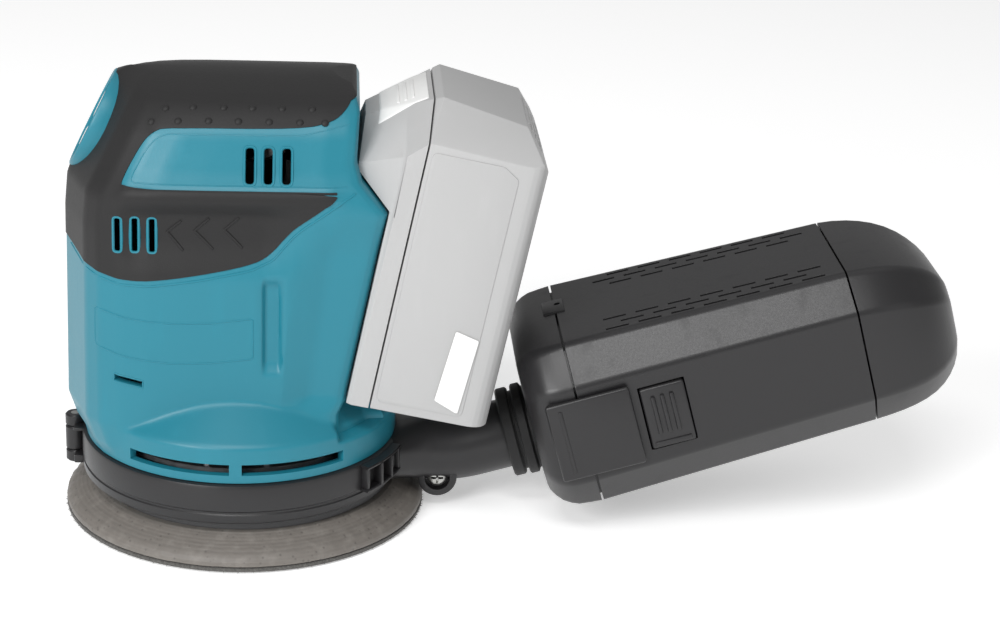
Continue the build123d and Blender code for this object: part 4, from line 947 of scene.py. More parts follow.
def make_body(sizes):
    shell, grip, tree = split_skin(sizes)
    left_lines = shell_relief(tree)
    right_lines = mirrored(left_lines)
    right = mirrored(shell)
    grip_right = mirrored(grip)
    for bm in (right, grip_right):
        screw_wells(bm)
    piece("shell_left", shell, "teal_plastic", "housing",
          ["housing_left"], wall=sizes.wall / MM, edge=0.35, turn_out=False)
    piece("shell_left_lines", left_lines, "teal_plastic", "housing")
    piece("shell_right", right, "teal_plastic", "housing",
          ["housing_right"], wall=sizes.wall / MM, edge=0.35, turn_out=False)
    piece("shell_right_lines", right_lines, "teal_plastic", "housing")
    whole = joined(grip, grip_right)
    weld(whole, 0.02)
    piece("grip_cover", whole, "grip_rubber", "housing", ["grip_overmold"],
          wall=1.9, edge=0.55, turn_out=False)
    bumps = grip_relief(tree, sizes)
    piece("grip_bumps", mirrored_pair(bumps), "grip_rubber", "housing")
    piece("battery_socket", socket_lining(), "inner_plastic", "housing",
          wall=1.6, turn_out=False)


def mirrored_pair(bm):
    """A shape and its mirror image in the middle plane, as one."""
    other = mirrored(bm)
    return joined(bm, other)


# ================================================================ panel and buttons
def ovals(rings):
    """Loops on the panel from the half width, half length and height of each."""
    return [[panel.point(a, b, c) for a, b in ellipse(half_a, half_b, 72)] for half_a, half_b, c in rings]


def make_panel(sizes):
    bm = bmesh.new()
    rings = [(15.1, 15.4, -2.6), (15.1, 15.4, 0.3), (15.5, 15.8, 0.75), (16.6, 16.9, 0.8),
             (17.2, 17.5, 0.5), (17.5, 17.8, -0.2), (17.5, 17.8, -3.0), (17.3, 17.6, -6.5)]
    skin(bm, ovals(rings), caps=(False, False))
    piece("panel_frame", bm, "teal_plastic", "housing", ["panel_bezel"])
    bm = bmesh.new()
    rings = [(15.0, 15.3, -1.4), (14.7, 15.0, -0.9)]
    skin(bm, ovals(rings), caps=(False, True))
    for b, radius in ((5.0, 5.9), (-7.5, 4.3)):
        rim = [(radius, -0.95), (radius + 0.15, -0.62), (radius - 0.55, -0.62), (radius - 0.7, -0.95)]
        turned(bm, panel.moved(0, b), rim, steps=40, closed=True)
    piece("panel_face", bm, "panel_film", "housing", ["panel_plate"])
    for name, b, radius in (("power_key", 5.0, 5.2), ("speed_key", -7.5, 3.6)):
        bm = bmesh.new()
        profile = [(0.001, 0.15), (radius * 0.55, 0.2), (radius * 0.82, 0.45), (radius - 0.25, 0.35),
                   (radius, 0.0), (radius, -3.0), (0.001, -3.0)]
        turned(bm, panel.moved(0, b), profile, steps=48)
        body = "power_button" if b > 0 else "speed_button"
        piece(name, bm, "button_grey", body, [body])


# ================================================================ clamp ring and duct
NOZZLE_RADIUS, NOZZLE_WALL = 12.0, 1.8
NOZZLE_END = -8.0
ELBOW_X, ELBOW_Z, ELBOW_BEND = 74.0, 19.2, 48.0
DUCT_ROOT_WIDE, DUCT_ROOT_TALL = 21.0, 6.5              # half sizes where the duct leaves the ring
HINGE_X = -57.0
LUG_X, LUG_Z, LUG_HALF = 67.6, 10.8, 9.5


def round_section(x_dir, y_dir, centre, half_w, half_h, square):
    """Section that is a rounded box at square 1 and an ellipse at square 0."""
    count = 48
    points = []
    for k in range(count):
        t = 2 * pi * k / count
        c, s = cos(t), sin(t)
        power = 1 - 0.68 * square
        points.append(centre + x_dir * half_w * abs(c) ** power * (1 if c > 0 else -1)
                      + y_dir * half_h * abs(s) ** power * (1 if s > 0 else -1))
    return points


def duct_loops(inset):
    """Sections of the duct from the ring out to its spout."""
    loops = []
    middle = (RING_LOW + RING_HIGH) / 2
    for t in (0.0, 0.2, 0.4, 0.6, 0.8, 0.92, 1.0):
        x = 46.0 + 20.0 * t
        wide = DUCT_ROOT_WIDE + (NOZZLE_RADIUS - DUCT_ROOT_WIDE) * ease(t) - inset
        tall = DUCT_ROOT_TALL + (NOZZLE_RADIUS - DUCT_ROOT_TALL) * t - inset
        z = middle + (ELBOW_Z - middle) * t
        loops.append(round_section(Y, Z, Vector((x, 0, z)), wide, tall, 1 - t))
    bend = box_axis.angle(X)
    end = neck.point(0, 0, NOZZLE_END)
    run = ELBOW_BEND * tan(bend / 2)
    start = Vector((ELBOW_X - run, 0, ELBOW_Z))
    for k in range(9):
        turn = bend * k / 8
        centre = start + X * ELBOW_BEND * sin(turn) + Z * ELBOW_BEND * (1 - cos(turn))
        loops.append(round_section(Y, Vector((-sin(turn), 0, cos(turn))), centre,
                                   NOZZLE_RADIUS - inset, NOZZLE_RADIUS - inset, 0))
    loops.append(round_section(Y, box_lift, end, NOZZLE_RADIUS - inset, NOZZLE_RADIUS - inset, 0))
    return loops


def ring_half(side):
    """One half of the clamp ring with its half of the duct; side is -1 for the left."""
    parts = []
    bm = bmesh.new()
    profile = [(51.4, 13.9), (53.2, 13.7), (54.1, 14.3), (54.3, 15.2), (54.3, 17.0), (53.9, 17.4),
               (53.9, 18.0), (54.4, 18.5), (54.4, 26.3), (54.0, 27.3), (53.1, 27.7), (51.4, 27.7)]
    turned(bm, upright, profile, steps=90, start=0.4 if side > 0 else 180.4, turn=179.2, closed=True)
    parts.append(bm)
    outer, inner = duct_loops(0.0), duct_loops(NOZZLE_WALL)
    bm = bmesh.new()
    skin(bm, outer + inner[::-1] + [outer[0]], caps=(False, False))
    weld(bm, 0.001)
    face_out(bm)
    slice_off(bm, (0, side * 0.05, 0), (0, -side, 0))
    slice_off(bm, (49.5, 0, 0), (-1, 0, 0))
    parts.append(bm)
    bm = bmesh.new()
    lug = Place((LUG_X, 0, LUG_Z), X, Z)
    span = sorted((-side * 0.3, -side * LUG_HALF))
    outline = [(6.8 * cos(t), 6.8 * sin(t)) for t in [pi * k / 18 for k in range(36)]]
    prism(bm, lug, outline, span, 0.7)
    if side < 0:
        seat = bmesh.new()
        turned(seat, lug, [(0.001, 6.9), (4.3, 6.9), (4.5, 12), (0.001, 12)], steps=40)
        bm = cut_out(bm, seat)
    block(bm, lug, (-5.5, 5.5), (4.6, 8.5), (span[0] + 0.6, span[1] - 1.2), 0.8)
    parts.append(bm)
    bm = bmesh.new()
    for turn, reach in ((-19, 57.2), (-26, 57.6), (-33, 57.6), (-40, 57.0)):
        fin = Place((0, 0, 0), (cos(radians(side * -turn)), sin(radians(side * -turn)), 0),
                    (-sin(radians(side * -turn)), cos(radians(side * -turn)), 0))
        block(bm, fin, (52.4, reach), (-0.7, 0.7), (18.2, 26.6), 0.4)
    for bottom in (17.9, 26.2):
        arc = [(53.0, bottom), (57.2, bottom), (57.4, bottom + 0.5), (57.2, bottom + 1.0),
               (53.0, bottom + 1.0)]
        start, turn = (18.0, 23.0) if side > 0 else (319.0, 23.0)
        turned(bm, upright, arc, steps=16, start=start, turn=turn, closed=True)
    parts.append(bm)
    bm = bmesh.new()
    hinge = Place((HINGE_X, 0, 0), X, Y)
    spans = ((12.9, 17.1), (26.0, 30.2)) if side < 0 else ((17.3, 25.8),)
    for bottom, top in spans:
        rim = [(1.55, bottom), (2.9, bottom), (3.4, bottom + 0.5), (3.4, top - 0.5), (2.9, top), (1.55, top)]
        turned(bm, hinge, rim, steps=28, closed=True)
        web = (max(bottom, 14.2), min(top, 27.2))
        if web[1] - web[0] > 1:
            block(bm, upright, (HINGE_X, -52.6), sorted((side * 0.7, side * 7.0)), web, 0.4)
    parts.append(bm)
    return joined(*parts)


def make_ring(sizes):
    for side, name in ((-1, "ring_left"), (1, "ring_right")):
        piece(name, ring_half(side), "black_plastic", "housing",
              ["nozzle_" + name])
    head = Place((LUG_X, -LUG_HALF + 2.4, LUG_Z), X, Z)
    bm = bmesh.new()
    turned(bm, head, [(0.001, 2.3), (1.9, 2.15), (3.0, 1.6), (3.55, 0.7), (3.6, 0.0), (2.0, 0.0),
                      (2.0, -15.5), (0.001, -15.5)], steps=40)
    cross = bmesh.new()
    block(cross, head, (-2.1, 2.1), (-0.42, 0.42), (0.9, 3.5))
    other = bmesh.new()
    block(other, head, (-0.42, 0.42), (-2.1, 2.1), (0.9, 3.5))
    piece("clamp_screw", cut_out(cut_out(bm, cross), other), "zinc_steel", "housing",
          ["ring_clamp_screw"])


# ================================================================ sanding pad
HOLES, HOLE_RING, HOLE_RADIUS = 8, 32.5, 5.0            # dust holes: how many, on what circle, how wide
HUB_RADIUS, PAD_STEPS, HOOKS = 18.5, 180, 240


def hole_pins(bottom, top):
    """Pins that cut the pad's dust holes."""
    bm = bmesh.new()
    pin = [(0.001, bottom), (HOLE_RADIUS, bottom), (HOLE_RADIUS, top), (0.001, top)]
    for a, b in ellipse(HOLE_RING, HOLE_RING, HOLES, (ORBIT, 0)):
        turned(bm, Place((a, b, 0), X, Y), pin, steps=28)
    return bm


def make_pad(sizes):
    centre = Place((ORBIT, 0, 0), X, Y)
    radius = PAD_RADIUS
    bm = bmesh.new()
    profile = [(HUB_RADIUS, 9.9), (HUB_RADIUS, 1.7), (40.0, 1.65), (radius - 1.0, 1.7),
               (radius - 0.15, 2.0), (radius, 2.7), (radius - 0.2, 3.6), (radius - 1.6, 5.0), (radius - 3.6, 6.3),
               (radius - 6.0, 7.6),
               (radius - 8.2, 8.8), (radius - 9.6, 9.7), (radius - 10.6, 10.15), (40.0, 10.15), (24.0, 10.1)]
    turned(bm, centre, profile, steps=PAD_STEPS, closed=True)
    for vert in bm.verts:
        reach = hypot(vert.co.x - ORBIT, vert.co.y)
        turn = atan2(vert.co.y, vert.co.x - ORBIT)
        if reach > radius - 8:
            nick = 0.16 * sin(37 * turn) * sin(11 * turn + 1) + 0.10 * sin(83 * turn + 2)
            vert.co.x -= cos(turn) * max(nick, 0)
            vert.co.y -= sin(turn) * max(nick, 0)
            vert.co.z += 0.12 * sin(53 * turn) * (1 if vert.co.z > 2.5 else 0)
    foam = piece("foam_pad", cut_out(bm, hole_pins(0.5, 12)), "pad_foam", "pad",
                 ["pad_foam"])
    bm = bmesh.new()
    profile = [(HUB_RADIUS, 1.55), (HUB_RADIUS, 0.1), (radius - 0.7, 0.0), (radius - 0.1, 0.3),
               (radius, 0.8), (radius - 0.1, 1.3), (radius - 0.6, 1.55)]
    turned(bm, centre, profile, steps=PAD_STEPS, closed=True)
    bm = cut_out(bm, hole_pins(-2, 3))
    fringe = bmesh.new()
    for k in range(HOOKS):
        turn = 2 * pi * k / HOOKS
        spot = Vector((ORBIT + (radius - 0.35) * cos(turn), (radius - 0.35) * sin(turn),
                       0.35 + 0.35 * (k * 7 % 3)))
        out = Vector((cos(turn + 0.4 * sin(k * 2.4)), sin(turn + 0.4 * sin(k * 2.4)), 0.25 * sin(k * 1.7)))
        tip = bmesh.ops.create_cone(fringe, cap_ends=True, segments=4, radius1=0.16, radius2=0.05,
                                    depth=1.1)["verts"]
        turnover = out.to_track_quat("Z", "Y").to_matrix()
        for vert in tip:
            vert.co = spot + turnover @ (vert.co + Vector((0, 0, 0.4)))
            vert.co.z = max(vert.co.z, 0.03)
    piece("hook_facing", joined(bm, fringe), "hook_fabric", "pad", ["hook_layer"])


# ================================================================ battery
PACK_HALF, PACK_DEPTH, PACK_LENGTH, PACK_SEAM = 37.2, 48.0, 107.0, 8.0
# planes of the pack's top, each through three points (out, across, up)
TOP_CUTS = [
    ((10.6, 0, 104.2), (-12, 0, 90.0), (-12, 9, 90.0)), ((10.6, 0, 104.2), (39, 0, 101.0), (39, 9, 101.0)),
    ((39, 0, 101.0), (48, 0, 89.5), (48, 9, 89.5)),
    ((8, 37.2, 92.5), (-12, 30.5, 77.5), (10.6, 22, 103.6)),
    ((8, 37.2, 92.5), (39, 37.2, 91.5), (10.6, 22, 103.6)),
    ((-12, 28.0, 77), (2, 37.2, 77), (2, 37.2, 110)),
]


def pack_block(a_low, a_high, half, b_low, rear_round=0.0, edge=1.4, lift=0.0, corner_cut=True):
    """A length of the battery's outer form between two depths."""
    bm = bmesh.new()
    block(bm, pack, (a_low, a_high), (-half, half), (b_low, PACK_LENGTH + lift))
    if rear_round:
        upright_edges = [e for e in bm.edges if all(pack.local(v.co)[0] > a_high - 0.1 for v in e.verts)
                         and abs(pack.local(e.verts[0].co)[2] - pack.local(e.verts[1].co)[2]) > 10]
        soften(bm, upright_edges, rear_round, 6)
    heart = Vector((18, 0, 50))
    for corners in TOP_CUTS if corner_cut else TOP_CUTS[:-1]:
        for side in (1, -1):
            p, q, r = (Vector((a, b * side, c + lift)) for a, b, c in corners)
            out = (q - p).cross(r - p).normalized()
            if out.dot(p - heart) < 0:
                out = -out
            carve(bm, pack, [(p, out)])
    weld(bm, 0.01)
    face_out(bm)
    if edge:
        soften(bm, sharp_edges(bm.edges, 12), edge, 3)
    return bm


def button_well(reach, bottom):
    bm = bmesh.new()
    block(bm, pack, (-8.0 - reach, 6.5 + reach), (-16.6 - reach, 16.6 + reach), (bottom, 130))
    return bm


def make_battery(sizes):
    parts = [pack_block(PACK_SEAM + sizes.seam / MM / 2, PACK_DEPTH, PACK_HALF, 0, rear_round=7.2)]
    bm = bmesh.new()
    for side in (-1, 1):
        edge_out = sorted((side * (PACK_HALF - 0.3), side * (PACK_HALF + 0.35)))
        panel_line = filleted([(9.6, 3.0), (38.5, 3.0), (38.5, 86.5), (33.0, 90.0), (9.6, 90.0)], 2.0, 4)
        prism(bm, pack_side, panel_line, sorted((-edge_out[0], -edge_out[1])), 0.3)
    for k in range(5):
        block(bm, pack, (44.6 - 1.0, 48.25 - 0.2), (-20 + 10 * k - 3.2, -20 + 10 * k + 3.2), (70, 84), 0.5)
    slope = Place(pack.point(43.5, 0, 95.25), Y, pack.x_dir * -9 + pack.normal * 11.5)
    for k in range(4):
        block(bm, slope, (-15, 15), (-5.0 + 3.2 * k, -3.4 + 3.2 * k), (-0.4, 0.45), 0.25)
    parts.append(bm)
    piece("battery_shell", joined(*parts), "battery_grey", "battery", ["battery_case"])

    main = pack_block(0.4, PACK_SEAM - sizes.seam / MM / 2, PACK_HALF, 0, edge=0)
    head = pack_block(-12.0, 5.0, PACK_HALF, 66.0, edge=0)
    underside = Vector((-8.4, 0, -10.9))
    carve(head, pack, [((0.4, 0, 67.4), underside)])
    cover = cut_out(main, head, "UNION")
    weld(cover, 0.01)
    soften(cover, sharp_edges(cover.edges, 12), 1.2, 3)
    cover = cut_out(cover, button_well(0.5, 84))
    bm = bmesh.new()
    block(bm, pack, (-11.9, 0.8), (-20, 20), (1.2, 78.5), 0.5)
    block(bm, pack, (-11.9, -8.5), (-24, 24), (1.2, 78.2), 0.5)
    slots = bmesh.new()
    for side in (-1, 1):
        block(slots, pack, (-13, -4), (side * 8 - 1.3, side * 8 + 1.3), (0, 46))
    bm = cut_out(bm, slots)
    piece("battery_front", joined(cover, bm), "battery_grey", "battery", ["battery_cover"])

    bm = pack_block(-8.0, 6.5, 16.6, 87.0, edge=0.9, lift=0.5, corner_cut=False)
    ridges = bmesh.new()
    slope = Place(pack.point(-5.0, 0, 94.9), Y, pack.x_dir * -22.6 + pack.normal * -14.2)
    for k in range(3):
        block(ridges, slope, (-11, 11), (-8.6 + 2.6 * k, -7.7 + 2.6 * k), (-0.4, 0.3), 0.15)
    piece("release_key", joined(bm, ridges), "button_grey", "release_button",
          ["release_button"])

    bm = bmesh.new()
    side_plane = Place((0, -PACK_HALF - 0.55, 0), X, Z)
    band = filleted([(64.4, 51.8), (72.1, 46.9), (78.5, 72.8), (70.9, 76.2)], 0.6, 3)
    prism(bm, side_plane, band, (0.0, 0.35), 0.1)
    piece("battery_band", mirrored_pair(bm), "button_grey", "battery")


# ================================================================ dust box
BOX_LENGTH, BOX_TAPER = 97.0, 0.925
BOX_CORNERS = [(29.1, 29.7), (38.9, 17.2), (38.9, -16.6), (29.1, -29.7),
               (-29.1, -29.7), (-38.9, -16.6), (-38.9, 17.2), (-29.1, 29.7)]
END_STATIONS = [(0.0, 0.925), (5, 0.915), (10, 0.896), (14, 0.872), (18, 0.838), (22, 0.788), (25.5, 0.724),
                (28.3, 0.652), (30.6, 0.575), (32.4, 0.49), (33.5, 0.41), (34.1, 0.33), (34.3, 0.25)]
CAP_STATIONS = [(-17.0, 0.76), (-16.6, 0.81), (-15, 0.875), (-13, 0.93), (-10.5, 0.968), (-8, 0.99),
                (-4, 0.997), (-0.35, 1.0)]
LATCH_START, LATCH_LENGTH, LATCH_HALF = 20.5, 15.0, 11.0


def section(s, scale, inset=0.0, corner=4.0):
    """Eight-sided section of the box; it rises a little along the box and sinks again over the end."""
    outline = filleted([(a * scale, b * scale) for a, b in BOX_CORNERS], corner * scale, 5)
    if inset:
        outline = widened(outline, -inset)
    rise = 0.9 * max(min(s / BOX_LENGTH, 1), 0) - 3.4 * max((s - BOX_LENGTH) / 34.3, 0) ** 1.6
    return [box.point(a, b + rise, s) for a, b in outline]


def box_scale(s):
    return 1 - (1 - BOX_TAPER) * s / BOX_LENGTH


def louvre_spots():
    """Middle of each louvre dash: its place across and along the box."""
    spots = []
    for k, row in enumerate((-25.6, -21.0, -16.4, 16.4, 21.0, 25.6)):
        shift = 5.6 if k % 2 else 0.0
        s = 19.0 + shift
        while s < 90:
            spots.append((row * box_scale(s), s))
            s += 11.2
    return spots


def make_dust_box(sizes):
    bm = bmesh.new()
    stops = [0.35, 1.0, 16.0, 40.0, 64.0, 92.0, 96.4]
    skin(bm, [section(s, box_scale(s)) for s in stops], caps=(False, False))
    face_out(bm)
    top = Place(box_centre, Y, box_axis)
    half_long, half_wide = sizes.louvre_length / MM / 2, sizes.louvre_width / MM / 2
    for a, s in louvre_spots():
        dash = [(a - half_wide, s - half_long), (a + half_wide, s - half_long),
                (a + half_wide, s + half_long), (a - half_wide, s + half_long)]
        window(bm, top, dash, (-40, -20))
    flank = Place(box_centre, box_lift, box_axis)
    latch_hole = [(-11.4, 20.1), (11.4, 20.1), (11.4, 35.9), (-11.4, 35.9)]
    for depth in ((20, 60), (-60, -20)):
        window(bm, flank, latch_hole, depth)
    piece("box_shell", bm, "black_plastic", "dust_box", ["dust_box_shell"], wall=2.2, edge=0.4,
          edge_angle=50, turn_out=False)

    bm = bmesh.new()
    outer = [section(BOX_LENGTH + s, scale, corner=4.0 + 0.12 * s) for s, scale in END_STATIONS]
    inner = [section(BOX_LENGTH + s * 0.93, scale * 0.93, corner=4.0 + 0.12 * s) for s, scale in END_STATIONS]
    skin(bm, [inner[0]] + outer, caps=(False, True))
    skin(bm, inner, caps=(False, True))
    weld(bm, 0.01)
    face_out(bm)
    lips = bmesh.new()
    for side in (-1, 1):
        span = sorted((side * 34.0, side * 35.25))
        block(lips, box, span, (-4, 12), (97.4, 103.4), 0.5)
    piece("box_end", joined(bm, lips), "black_plastic", "dust_box", ["dust_box_end"])

    for side, name in ((-1, "left"), (1, "right")):
        bm = bmesh.new()
        face = 38.9 * box_scale(LATCH_START) + 1.0
        block(bm, box, sorted((side * (face - 2.6), side * face)), (-LATCH_HALF, LATCH_HALF),
              (LATCH_START, LATCH_START + LATCH_LENGTH), 0.8, 3)
        for k in range(3):
            s = LATCH_START + 3.8 + 3.2 * k
            span = sorted((side * (face - 0.4), side * (face + 1.1)))
            block(bm, box, span, (-6.0, 8.0), (s - 0.7, s + 0.7), 0.5)
        block(bm, box, sorted((side * (face - 0.4), side * (face + 0.35))), (-10.2, -8.6),
              (LATCH_START + 1.2, LATCH_START + LATCH_LENGTH - 1.2), 0.3)
        piece("latch_" + name, bm, "black_plastic", "dust_latch_" + name, ["dust_latch_" + name])


def make_dust_cap(sizes):
    bm = bmesh.new()
    outer = [section(s, scale, corner=4.0 + 0.25 * -s) for s, scale in CAP_STATIONS]
    inner = [section(s, scale * 0.93, corner=4.0) for s, scale in
             [(-14.6, 0.80), (-12, 0.90), (-9, 0.955), (-0.35, 0.99)]]
    skin(bm, outer + inner[::-1], caps=(True, True))
    weld(bm, 0.01)
    face_out(bm)
    bore = bmesh.new()
    turned(bore, neck, [(0.001, -22), (12.5, -22), (12.5, -8), (0.001, -8)], steps=48)
    cap = cut_out(bm, bore)
    lip = bmesh.new()
    rings = [section(-1.5, 1.0, 2.5), section(6.0, 1.0, 2.5), section(6.0, 1.0, 4.3), section(-1.5, 1.0, 4.3)]
    skin(lip, rings + [rings[0]], caps=(False, False))
    weld(lip, 0.01)
    face_out(lip)
    trim = bmesh.new()
    for side in (-1, 1):
        block(trim, box, sorted((side * 39.3, side * 41.3)), (-14, 14), (-11, 17.5), 0.9, 3)
        block(trim, box, sorted((side * 41.0, side * 41.6)), (-11.5, 11.5), (-7.0, -5.8), 0.25)
        block(trim, box, sorted((side * 36.5, side * 39.6)), (-13.4, 13.4), (-10.4, -1.0), 0.4)
    block(trim, box, (0.0, 12.0), (28.6, 30.3), (-4.2, 3.4), 0.6)
    hole = bmesh.new()
    turned(hole, Place(box.point(7, 0, 1.2), Y, -box_axis),
           [(0.001, 20), (1.1, 20), (1.1, 34), (0.001, 34)], steps=20)
    whole = joined(cap, lip, cut_out(trim, hole))
    piece("cap_shell", whole, "black_plastic", "dust_cap", ["dust_cap"])

    bm = bmesh.new()
    profile = [(12.4, -27.5), (15.0, -27.5), (15.6, -26.9), (15.6, -23.9), (15.0, -23.3), (13.9, -23.2),
               (13.9, -22.2), (15.4, -22.1), (16.0, -21.6), (16.0, -19.0), (14.6, -18.2), (14.6, -17.0),
               (16.0, -16.4), (15.2, -15.0), (12.4, -15.0)]
    turned(bm, neck, profile, steps=64, closed=True)
    piece("collar", bm, "grip_rubber", "dust_cap", ["nozzle_collar"])


# ================================================================ inner parts
def dress_inner(sizes):
    """Gives every CAD node that is shown as it is the finish of its slot."""
    for subpart in frame["record"]["subparts"]:
        mesh = frame["nodes"][subpart["node"]].data
        mesh.materials.clear()
        mesh.materials.append(finishes[subpart["material_slot"]])


# ================================================================ stage
CAMERA_PLACE = (0.03162, -0.75101, 0.34869)
CAMERA_AZIMUTH, CAMERA_RISE, CAMERA_ROLL = -4.28, 20.47, 2.30
CAMERA_LENS = 84.56


def lamp(name, place, aim, size, watts):
    light = bpy.data.lights.new(name, "AREA")
    light.shape, light.size, light.size_y = "RECTANGLE", size[0], size[1]
    light.energy = watts
    obj = bpy.data.objects.new(name, light)
    obj.location = place
    obj.rotation_euler = (Vector(aim) - Vector(place)).to_track_quat("-Z", "Y").to_euler()
    bpy.context.scene.collection.objects.link(obj)


def make_camera():
    az, el, roll = radians(CAMERA_AZIMUTH), radians(CAMERA_RISE), radians(CAMERA_ROLL)
    back = Vector((sin(az) * cos(el), -cos(az) * cos(el), sin(el)))
    right = Z.cross(back).normalized()
    up = back.cross(right)
    across = right * cos(roll) + up * sin(roll)
    upward = up * cos(roll) - right * sin(roll)
    camera = bpy.data.cameras.new("camera")
    camera.lens, camera.sensor_width = CAMERA_LENS, 36.0
    camera.clip_start, camera.clip_end = 0.01, 20.0
    obj = bpy.data.objects.new("camera", camera)
    obj.matrix_world = Matrix.Translation(CAMERA_PLACE) @ Matrix((across, upward, back)).transposed().to_4x4()
    bpy.context.scene.collection.objects.link(obj)
    bpy.context.scene.camera = obj


def make_stage(sizes):
    scene = bpy.context.scene
    scene.view_settings.view_transform = "Standard"
    world = bpy.data.worlds.new("studio")
    scene.world = world
    world.use_nodes = True
    ground = world.node_tree.nodes["Background"]
    ground.inputs["Color"].default_value = (1.0, 1.0, 1.0, 1.0)
    ground.inputs["Strength"].default_value = sizes.ambient
    bm = bmesh.new()
    bmesh.ops.create_grid(bm, x_segments=4, y_segments=4, size=6.0)
    bmesh.ops.translate(bm, verts=bm.verts, vec=Vector((0, 0, cad_box[0].z - 0.0004)))
    mesh = bpy.data.meshes.new("floor")
    bm.to_mesh(mesh)
    bm.free()
    floor = bpy.data.objects.new("floor", mesh)
    scene.collection.objects.link(floor)
    finish = Finish("floor_paper")
    cloud = finish.noise(1.5, 2.0)
    finish.put(colour=finish.mix((0.90, 0.90, 0.90), (0.93, 0.93, 0.93), cloud), roughness=0.8, specular=0.1,
               emission=(1.0, 1.0, 1.0), glow=sizes.floor_glow)
    mesh.materials.append(finish.material)
    lamp("key", (-0.80, -1.20, 0.80), (0.0, 0, 0.07), (0.6, 0.6), sizes.key_power)
    lamp("fill", (0.95, -0.95, 0.55), (0.06, 0, 0.07), (0.8, 0.8), sizes.key_power * 0.06)
    lamp("strip", (-0.10, -0.80, 1.15), (0.12, 0, 0.06), (0.7, 0.25), sizes.key_power * 0.45)
    lamp("top", (0.1, 0.25, 1.2), (0.05, 0, 0.08), (1.2, 0.8), sizes.key_power * 0.08)
    make_camera()


# ================================================================ add-on
def colour(name, about, default):
    return FloatVectorProperty(name=name, description=about, subtype="COLOR", size=3, default=default,
                               min=0, max=1)


def length(name, about, default, least, most):
    return FloatProperty(name=name, description=about, default=default, min=least, max=most,
                         subtype="DISTANCE", unit="LENGTH", precision=4)


class SanderColours(bpy.types.PropertyGroup):
    """Base colours of the visible finishes."""
    teal: colour("Teal", "Moulded housing", (0.012, 0.180, 0.245))
    grip: colour("Grip", "Soft grip", (0.012, 0.0117, 0.012))
    black: colour("Black plastic", "Clamp ring and dust box", (0.013, 0.0125, 0.0135))
    pack: colour("Battery", "Battery case", (0.42, 0.42, 0.42))
    button: colour("Buttons", "Keys and the release button", (0.78, 0.78, 0.77))
    pad: colour("Pad", "Foam of the sanding pad", (0.155, 0.140, 0.125))


class SanderSizes(bpy.types.PropertyGroup):
    """Sizes of the surface details, in metres, and brightness of the stage."""
    wall: length("Shell wall", "Wall of the housing shells", 0.0026, 0.0015, 0.0035)
    grip_proud: length("Grip step", "How far the soft grip stands out", 0.0003, 0, 0.001)
    bump_radius: length("Grip bump", "Radius of the grip's bumps", 0.00125, 0.0005, 0.002)
    seam: length("Battery seam", "Gap between battery case and cover", 0.0006, 0.0001, 0.002)
    louvre_length: length("Louvre length", "Length of a dust box louvre", 0.0078, 0.004, 0.010)
    louvre_width: length("Louvre width", "Width of a dust box louvre", 0.0015, 0.0008, 0.0025)
    ambient: FloatProperty(name="Ambient", description="Brightness of the studio walls", default=0.36,
                           min=0, max=3)
    floor_glow: FloatProperty(name="Floor glow", description="Light given off by the floor sweep",
                              default=0.38, min=0, max=2)
    key_power: FloatProperty(name="Key light", description="Power of the main light in watts", default=15.0,
                             min=0, max=100, subtype="POWER")


class SanderSettings(bpy.types.PropertyGroup):
    """All settings of the sander."""
    colours: PointerProperty(type=SanderColours, name="Colours", description="Base colours")
    sizes: PointerProperty(type=SanderSizes, name="Sizes", description="Detail sizes")


class Build:
    """What the build operators share."""
    bl_options = {"REGISTER", "UNDO"}
    maker = None

    def execute(self, context):
        settings = context.scene.sander
        if not finishes:
            finishes.update(make_finishes(settings.colours))
        type(self).maker(settings.sizes)
        return {"FINISHED"}


class SANDER_OT_body(Build, bpy.types.Operator):
    """Build the housing shells, the soft grip and the battery socket"""
    bl_idname = "sander.body"
    bl_label = "Housing and grip"
    maker = staticmethod(make_body)


class SANDER_OT_panel(Build, bpy.types.Operator):
    """Build the control panel and its two keys"""
    bl_idname = "sander.panel"
    bl_label = "Control panel"
    maker = staticmethod(make_panel)


class SANDER_OT_ring(Build, bpy.types.Operator):
    """Build the clamp ring with its dust duct and screw"""
    bl_idname = "sander.ring"
    bl_label = "Clamp ring and duct"
    maker = staticmethod(make_ring)


class SANDER_OT_pad(Build, bpy.types.Operator):
    """Build the sanding pad and its hook facing"""
    bl_idname = "sander.pad"
    bl_label = "Sanding pad"
    maker = staticmethod(make_pad)


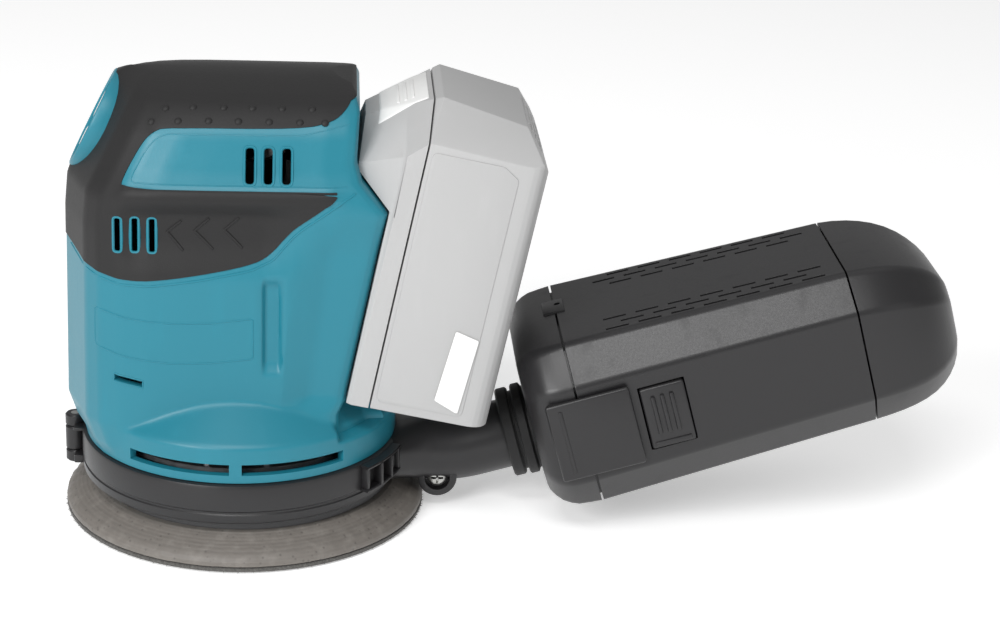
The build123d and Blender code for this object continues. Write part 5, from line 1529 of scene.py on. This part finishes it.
class SANDER_OT_battery(Build, bpy.types.Operator):
    """Build the battery case, its cover and release button"""
    bl_idname = "sander.battery"
    bl_label = "Battery pack"
    maker = staticmethod(make_battery)


class SANDER_OT_dust_box(Build, bpy.types.Operator):
    """Build the dust box, its domed end and latches"""
    bl_idname = "sander.dust_box"
    bl_label = "Dust box"
    maker = staticmethod(make_dust_box)


class SANDER_OT_dust_cap(Build, bpy.types.Operator):
    """Build the dust box cap and its rubber collar"""
    bl_idname = "sander.dust_cap"
    bl_label = "Dust box cap"
    maker = staticmethod(make_dust_cap)


class SANDER_OT_inner(Build, bpy.types.Operator):
    """Give each carried-over inner part its finish"""
    bl_idname = "sander.inner"
    bl_label = "Inner parts"
    maker = staticmethod(dress_inner)


class SANDER_OT_stage(Build, bpy.types.Operator):
    """Set up the floor, lights and camera"""
    bl_idname = "sander.stage"
    bl_label = "Stage"
    maker = staticmethod(make_stage)


class SANDER_PT_build(bpy.types.Panel):
    """Lists the build steps and settings"""
    bl_idname = "SANDER_PT_build"
    bl_label = "Orbital sander"
    bl_space_type = "VIEW_3D"
    bl_region_type = "UI"
    bl_category = "Sander"

    def draw(self, context):
        settings = context.scene.sander
        for group in (settings.colours, settings.sizes):
            column = self.layout.column(align=True)
            for name in group.__annotations__:
                column.prop(group, name)
        for step in STEPS:
            self.layout.operator(step.bl_idname)


STEPS = (SANDER_OT_body, SANDER_OT_panel, SANDER_OT_ring, SANDER_OT_pad, SANDER_OT_battery,
         SANDER_OT_dust_box, SANDER_OT_dust_cap, SANDER_OT_inner, SANDER_OT_stage)
CLASSES = (SanderColours, SanderSizes, SanderSettings) + STEPS + (SANDER_PT_build,)


def register():
    for cls in CLASSES:
        bpy.utils.register_class(cls)
    bpy.types.Scene.sander = PointerProperty(type=SanderSettings)


def unregister():
    del bpy.types.Scene.sander
    for cls in reversed(CLASSES):
        bpy.utils.unregister_class(cls)


def main():
    register()
    for step in STEPS:
        group, name = step.bl_idname.split(".")
        getattr(getattr(bpy.ops, group), name)()
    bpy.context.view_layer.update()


if __name__ == "__main__":
    main()
